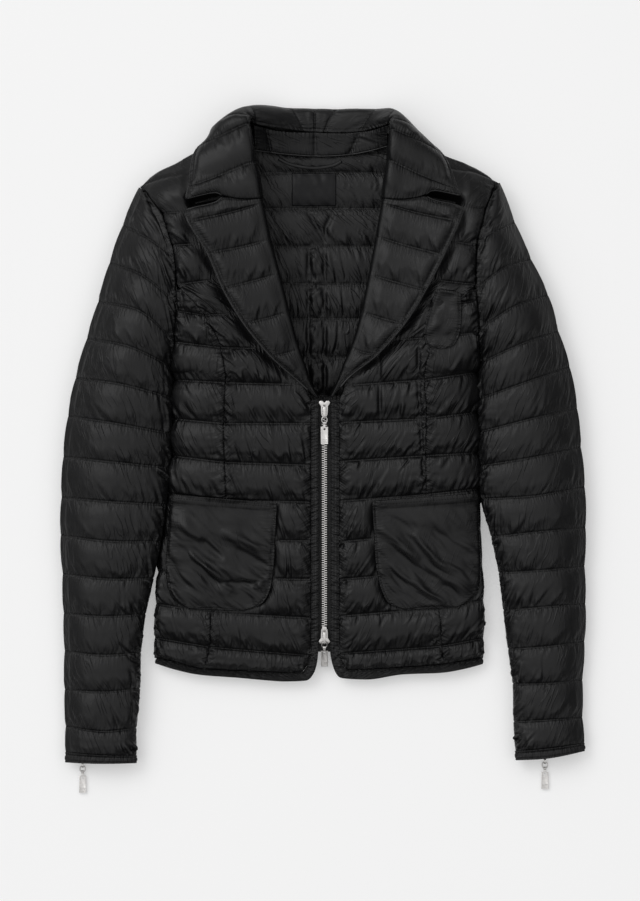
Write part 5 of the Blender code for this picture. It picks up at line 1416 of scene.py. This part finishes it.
def sew(name, lines, pitch=3.0, long=2.2, thick=0.26):
    """One stitch in each pitch of the lines. Each is three rings of four points."""
    points, faces = [], []
    for line in lines:
        path = even(line, pitch)
        ahead = np.diff(path, axis=0)
        ahead /= np.maximum(np.linalg.norm(ahead, axis=1, keepdims=True), 1e-9)
        centres = (path[:-1] + path[1:]) / 2 + (0, 0, 0.12)
        centres[:, 2] = np.maximum(centres[:, 2], 0.4)
        across = np.cross(ahead, (0, 0, 1))
        across /= np.maximum(np.linalg.norm(across, axis=1, keepdims=True), 1e-9)
        up = np.cross(across, ahead)
        first = sum(len(part) for part in points)
        rings = []
        for end, size in ((-0.5, 0.45), (0, 1), (0.5, 0.45)):
            for a, b in ((1, 0), (0, 1), (-1, 0), (0, -1)):
                drop = up * (-0.3 * abs(end))
                rings.append(centres + ahead * end * long + drop + thick * size * (a * across + b * up))
        points.append(np.stack(rings, 1).reshape(-1, 3))
        for n in range(len(centres)):
            start = first + 12 * n
            for ring in (0, 4):
                for k in range(4):
                    a, b = start + ring + k, start + ring + (k + 1) % 4
                    faces.append((a, b, b + 4, a + 4))
            faces += [(start + 3, start + 2, start + 1, start), (start + 8, start + 9, start + 10, start + 11)]
    points = np.concatenate(points)
    if signed_volume(points, faces) < 0:
        faces = [face[::-1] for face in faces]
    put_on(as_object(name, points, faces, thread))


sew("top_stitching", edge_lines, 3.0, 2.1, 0.26)
sew("quilting_stitches", quilt_lines, 3.4, 2.3, 0.22)

# ---- The zip
# A number 5 metal zip: nickel-plated teeth clamped 2.4 mm apart on the edges of two woven tapes, which
# are sewn in under the bands.

ZIP_X = -0.6
CHAIN_ENDS = (33.0, -186.5)
TAPE_ENDS = (53.0, -214.0)
TAPE_SIDES = {"right": (-10.5, -0.8), "left": (-0.4, 9.3)}


def zip_height(y):
    """Height of the outside of the zip facings at y."""
    return over_front("right", np.full(np.shape(y), -12.0), np.asarray(y, float))


# Woven tape: dull black herringbone, its ribs 0.7 mm apart along the tape.
tape_twill, tree, shader = new_material("zip_tape_twill", "0d0d0e", 0.82)
place = add_node(tree, "TexCoord").outputs["Object"]
ribs = add_node(tree, "TexWave", {"bands_direction": "Y"}, Vector=place, Scale=449.0, Distortion=0.4).outputs["Fac"]
lines = add_node(tree, "TexWave", {"bands_direction": "X"}, Vector=place, Scale=300.0, Distortion=0.2).outputs["Fac"]
weave = add_node(tree, "Math", {"operation": "MULTIPLY"}, i0=ribs, i1=lines).outputs[0]
dented(tree, shader, weave, 0.8, Distance=0.00025)
tinted(tree, shader, "0d0d0e", weave, i3=0.7, i4=1.4)

for side, (x_from, x_to) in TAPE_SIDES.items():
    x, y = np.meshgrid(np.linspace(x_from, x_to, 9), np.linspace(*TAPE_ENDS, 133))
    top = np.dstack([x, y, zip_height(y) - CLOTH - 0.3])
    tape = cloth_wall(f"zip_tape_{side}_woven", top, top - (0, 0, 0.9), (4, 4), tape_twill)
    sewn_in(tape, f"zip_tape_{side}")

# Nickel plate on cast zinc: bright, a little warm, brushed in the tumbler so that its gloss is uneven.
nickel, tree, shader = new_material("nickel_plated_zinc", "cac8c6", 0.34, 1.0)
place = add_node(tree, "TexCoord").outputs["Object"]
brushed = add_node(tree, "Mapping", Vector=place, Scale=(900, 260, 900)).outputs[0]
brushed = add_node(tree, "TexNoise", Vector=brushed, Scale=1.0, Detail=3.0).outputs["Fac"]
gloss = add_node(tree, "MapRange", Value=brushed, i3=0.3, i4=0.46).outputs[0]
tree.links.new(gloss, shader.inputs["Roughness"])
dented(tree, shader, brushed, 0.15, Distance=0.00005)
dull = add_node(tree, "TexNoise", Vector=place, Scale=420.0, Detail=2.0).outputs["Fac"]
tinted(tree, shader, "cac8c6", dull, i1=0.35, i2=0.65, i3=0.86, i4=1.0)


def block(size, place=(0, 0, 0)):
    """A cube of this size in millimetres, left in edit mode with everything selected."""
    bpy.ops.object.select_all(action="DESELECT")
    bpy.ops.mesh.primitive_cube_add(size=1)
    bpy.context.object.scale = [side * MM for side in size]
    bpy.ops.object.transform_apply(location=False, rotation=False, scale=True)
    bpy.ops.object.mode_set(mode="EDIT")
    bpy.ops.transform.translate(value=[side * MM for side in place])
    return bpy.context.object


def pick(test):
    """Selects the faces of the mesh in hand whose normal and centre, in millimetres, pass a test."""
    mesh = bmesh.from_edit_mesh(bpy.context.object.data)
    mesh.select_mode = {"FACE"}
    for face in mesh.faces:
        face.select_set(bool(test(face.normal, face.calc_center_median() / MM)))
    mesh.select_flush_mode()
    bmesh.update_edit_mesh(bpy.context.object.data)


def draw_out(move, size=(1, 1, 1), tip=0.0):
    """Extrudes what is selected by millimetres, resizes its end and tips that about X."""
    bpy.ops.mesh.extrude_region_move(TRANSFORM_OT_translate={"value": [part * MM for part in move]})
    if tuple(size) != (1, 1, 1):
        bpy.ops.transform.resize(value=size)
    if tip:
        chosen = [v.co for v in bmesh.from_edit_mesh(bpy.context.object.data).verts if v.select]
        end = sum(chosen, Vector()) / len(chosen)
        bpy.ops.transform.rotate(value=tip, orient_axis="X", center_override=end)


def rounded_off(piece, width, segments=2, name=None):
    """Leaves edit mode, bevels the sharp edges, applies that and shades it smooth between them."""
    bpy.ops.object.mode_set(mode="OBJECT")
    bevel = piece.modifiers.new("edge_radius", "BEVEL")
    bevel.width, bevel.segments, bevel.limit_method, bevel.angle_limit = width * MM, segments, "ANGLE", 0.6
    bpy.ops.object.modifier_apply(modifier="edge_radius")
    bpy.ops.object.shade_smooth_by_angle(angle=0.7)
    if name:
        piece.name = name


def take(piece, *others):
    """Selects these pieces alone, the first of them active."""
    bpy.ops.object.select_all(action="DESELECT")
    for other in (*others, piece):
        other.select_set(True)
    bpy.context.view_layer.objects.active = piece


def joined(first, *others):
    """Makes one object of several."""
    take(first, *others)
    bpy.ops.object.join()
    return first


def drilled(piece, drill):
    """Takes one closed piece out of another."""
    take(piece)
    hole = piece.modifiers.new("hole", "BOOLEAN")
    hole.operation, hole.object = "DIFFERENCE", drill
    bpy.ops.object.modifier_apply(modifier="hole")
    bpy.data.objects.remove(drill)


def copied(piece, name, material, turn, place):
    """A copy with its own mesh, tipped about X and put in place, with the object left at the origin."""
    mesh = piece.data.copy()
    mesh.name = name
    mesh.transform(Matrix.Translation(Vector(place) * MM) @ Matrix.Rotation(turn, 4, "X"))
    mesh.materials.clear()
    mesh.materials.append(material)
    copy = bpy.data.objects.new(name, mesh)
    scene.collection.objects.link(copy)
    return copy


# One tooth: a bar with a bump on its tip, which the other side's teeth close round.
tooth = block((2.7, 1.1, 2.45), (-1.3, 0, 0))
pick(lambda normal, centre: normal.x > 0.9)
draw_out((0.35, 0, 0), (1, 0.72, 0.8))
pick(lambda normal, centre: normal.x < -0.9)
draw_out((-0.25, 0, 0), (1, 1, 0.7))
rounded_off(tooth, 0.14, 1, "tooth")
shape = np.array([vertex.co for vertex in tooth.data.vertices]) / MM
sides = [tuple(face.vertices) for face in tooth.data.polygons]
for side, sign, offset in (("right", 1, 0), ("left", -1, 1.2)):
    rows = np.arange(CHAIN_ENDS[0] - 1 - offset, CHAIN_ENDS[1], -2.4)
    places = np.stack([np.full(len(rows), ZIP_X), rows, zip_height(rows) - 1.97], 1)
    points = (places[:, None] + shape * (sign, 1, 1)).reshape(-1, 3)
    faces = [tuple(len(shape) * k + v for v in face[::sign]) for k in range(len(rows)) for face in sides]
    teeth = as_object(f"zip_teeth_{side}", points, faces, nickel, np.zeros(len(faces), bool))
    put_on(teeth, "zip_chain")
bpy.data.objects.remove(tooth)

# ---- The sliders
# Zinc castings, nickel plated, each in one with the bridge that holds its pull. The mouth flares to two
# ears where the chain opens.

# Columns: x, y and height of the hinge, None where the zip gives it; how far the pull hangs down, in degrees.
PULLS = {
    "top": (ZIP_X, 35.0, None, 4.0),
    "bottom": (ZIP_X, -203.5, None, 28.0),
    "cuff_right": (-257.6, -335.6, 3.0, 4.0),
    "cuff_left": (233.8, -331.6, 3.0, 4.0),
}
BODY_TOP = -1.7  # of the slider, from the hinge
PLATE_MIDDLE = 3.6  # of the slider, over the tape

plate = block((5.0, 1.6, 3.6), (0, -0.4, BODY_TOP - 1.8))
bpy.ops.mesh.bisect(plane_co=(0, 0, 0), plane_no=(1, 0, 0))
for step, wide in ((1.9, 1.4), (4.4, 1.08), (4.4, 1.03), (1.9, 1.32), (1.7, 1.22)):
    pick(lambda normal, centre: normal.y > 0.7)
    draw_out((0, step, 0), (wide, 1, 1))
for sign in (-1, 1):
    pick(lambda normal, centre: normal.y > 0.7 and centre.x * sign > 0 and centre.y > 13)
    draw_out((sign * 0.35, 1.7, 0), (0.62, 1, 0.9))
    draw_out((-sign * 0.1, 0.7, 0), (0.6, 1, 0.8))
rounded_off(plate, 0.55, 3)
for sign in (-1, 1):
    slot = block((1.1, 8.6, 3.4), (sign * 2.0, 6.0, BODY_TOP + 0.2))
    bpy.ops.object.mode_set(mode="OBJECT")
    drilled(plate, slot)
bridge = block((2.3, 1.1, 1.0), (0, -1.3, BODY_TOP))
pick(lambda normal, centre: normal.z > 0.9)
for move, tip in (
    ((0, -0.15, 2.0), 0.15), ((0, 0.35, 1.1), -0.6), ((0, 1.3, 0.8), -0.6), ((0, 3.4, 0.35), -0.35),
    ((0, 4.6, -0.1), -0.2), ((0, 3.0, -0.8), -0.5), ((0, 0.9, -1.5), -0.4), ((0, 0.3, -2.2), 0),
):
    draw_out(move, tip=tip)
rounded_off(bridge, 0.35, 2)
for key in ("top", "bottom"):
    x, y, _, _ = PULLS[key]
    slope = float(np.arctan2(zip_height(y + 16) - zip_height(y), 16))
    z = float(zip_height(y)) - CLOTH + PLATE_MIDDLE + 1.7 + 0.3
    PULLS[key] = (x, y, z, PULLS[key][3])
    body = copied(plate, f"slider_{key}_cast", nickel, 0, (0, 0, 0))
    if key == "bottom":  # it opens the zip from below, so its ears point down
        body.data.transform(Matrix.Translation((0, 15.0 * MM, 0)) @ Matrix.Scale(-1, 4, (0, 1, 0)))
        body.data.flip_normals()
    body.data.transform(Matrix.Translation(Vector((x, y, z)) * MM) @ Matrix.Rotation(slope, 4, "X"))
    body = joined(body, copied(bridge, "slider_bridge", nickel, slope, (x, y, z)))
    put_on(body, f"slider_{key}")
for part in (plate, bridge):
    bpy.data.objects.remove(part)

# ---- The pulls
# A wire link through the slider's bridge, and a flat cast tab with an eye and a ribbed end hung on it. Both
# are nickel plated and swing. The tab's face is bare.

LINK_LENGTH, LINK_HALF, WIRE = 6.6, 2.8, 0.65
bpy.ops.object.select_all(action="DESELECT")
bpy.ops.mesh.primitive_torus_add(
    major_segments=48, minor_segments=10, major_radius=LINK_HALF * MM, minor_radius=WIRE * MM,
)
link = bpy.context.object
bpy.ops.object.mode_set(mode="EDIT")
bpy.ops.transform.translate(value=(0, -LINK_HALF * MM, 0))
shapes = bmesh.from_edit_mesh(link.data)
for vertex in shapes.verts:
    vertex.select_set(vertex.co.y < -(LINK_HALF + 0.01) * MM)
shapes.select_flush_mode()
bmesh.update_edit_mesh(link.data)
bpy.ops.transform.translate(value=(0, -(LINK_LENGTH - 2 * LINK_HALF) * MM, 0))
bpy.ops.object.mode_set(mode="OBJECT")
bpy.ops.object.shade_smooth()

tab = block((7.5, 18.2, 1.3), (0, -13.1, 0))
pick(lambda normal, centre: abs(normal.z) > 0.9)
bpy.ops.mesh.inset(thickness=0.75 * MM)
draw_out((0, 0, 0))
bpy.ops.transform.resize(value=(1, 1, 0.62))
pick(lambda normal, centre: normal.z > 0.9)  # thicker toward its ribbed end
bpy.ops.transform.rotate(value=0.09, orient_axis="X", center_override=(0, -5 * MM, 0.65 * MM))
rounded_off(tab, 0.3, 2)
neck = block((2.6, 3.4, 1.1), (0, -2.9, 0))
rounded_off(neck, 0.3, 2)


def round_bar(radius, long, across, y=0.0):
    """A cylinder along X, or through the tab's face."""
    bpy.ops.mesh.primitive_cylinder_add(
        vertices=24, radius=radius * MM, depth=long * MM, location=(0, y * MM, 0),
        rotation=(0, math.pi / 2 if across else 0, 0),
    )
    bpy.ops.object.transform_apply(location=True, rotation=True, scale=False)
    return bpy.context.object


barrel = round_bar(1.6, 2.9, True)
bpy.ops.object.shade_smooth_by_angle(angle=0.7)
joined(tab, neck, barrel)
drilled(tab, round_bar(0.95, 9, True))  # the link runs through this hole
drilled(tab, round_bar(1.25, 9, False, -6.4))  # the eye
ribs = []
for k in range(3):
    rib = block((6.0, 0.8, 0.4), (0, -17.3 - 1.5 * k, 1.6 + 0.13 * k))
    rounded_off(rib, 0.12, 1)
    ribs.append(rib)
joined(tab, *ribs)

for key, (x, y, z, down) in PULLS.items():
    tipped = math.radians(down)
    far = (x, y - LINK_LENGTH * math.cos(tipped), z - LINK_LENGTH * math.sin(tipped))
    for part, where, node in ((link, (x, y, z), f"link_{key}"), (tab, far, f"tab_{key}")):
        put_on(copied(part, node + "_cast", nickel, tipped, where), node, node)
for part in (link, tab):
    bpy.data.objects.remove(part)
for node in ("slider_cuff_right", "slider_cuff_left"):
    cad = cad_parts[node]
    cad.data.materials.clear()
    cad.data.materials.append(nickel)

# ---- The label and the hanger loop
# A bare satin label, woven double and stitched down on its four sides over the first channels of the back,
# and a loop of folded nylon caught in the neck seam.

# Satin: smooth black warp floats with a soft gloss across them.
satin, tree, shader = new_material("black_satin_weave", "08080a", 0.4)
place = add_node(tree, "TexCoord").outputs["Object"]
floats = add_node(tree, "Mapping", Vector=place, Scale=(2600, 500, 1)).outputs[0]
floats = add_node(tree, "TexNoise", Vector=floats, Scale=1.0, Detail=2.0).outputs["Fac"]
dented(tree, shader, floats, 0.3, Distance=0.0001)
shader.inputs["Specular IOR Level"].default_value = 0.18

LABEL = (-35, 11.7, 259.5, 294)
LOOP = ((-49, 309.5), (-42, 305.5), (-29, 301.5), (-11.7, 299.6), (3, 301), (12, 303.5), (17.5, 307))
back_height = topography([back_inside])
x, y = np.meshgrid(np.linspace(LABEL[0], LABEL[1], 41), np.linspace(LABEL[3], LABEL[2], 31))
under = np.dstack([x, y, back_height(x, y) + 0.3])
out = normals(under, (0, 0, 1))
quilt = Quilt(under, 30, 131)
free = np.minimum(quilt.from_edge, np.minimum(quilt.down, quilt.down[-1:] - quilt.down))
lift = 0.5 + 0.35 * ramp(free / 3) - 0.25 * bell(free - 1.6, 0.6)
lift += 0.25 * ripple(x / 5, y / 5, 132) * np.exp(-free / 5) + 0.2 * ripple(x / 16, y / 12, 133)
surface = under + out * np.maximum(lift, 0.25)[:, :, None]
label = cloth_wall("neck_label_bare", surface, under, (5, 5), satin, quilt)
sewn_in(label, "neck_label")

path = through(LOOP, np.linspace(0, 1, 61))
ahead = np.gradient(path, axis=0)
ahead /= np.linalg.norm(ahead, axis=1, keepdims=True)
sideways = np.stack([-ahead[:, 1], ahead[:, 0]], 1)
across = np.linspace(-1.7, 1.7, 7)
flat = path[:, None] + sideways[:, None] * across[None, :, None]
under = np.dstack([flat, back_height(path[:, :1], path[:, 1:2]) + 0.3 + 0 * across[None]])
crown = 1.1 * np.sqrt(1 - (across / 1.9) ** 2)[None, :, None] * np.array((0, 0, 1))
loop = cloth_wall("hanger_loop_folded", under + crown + (0, 0, 0.3), under, (5, 3), band_taffeta)
put_on(loop, "hanger_loop")
length, _, _ = cut(under.transpose(1, 0, 2))
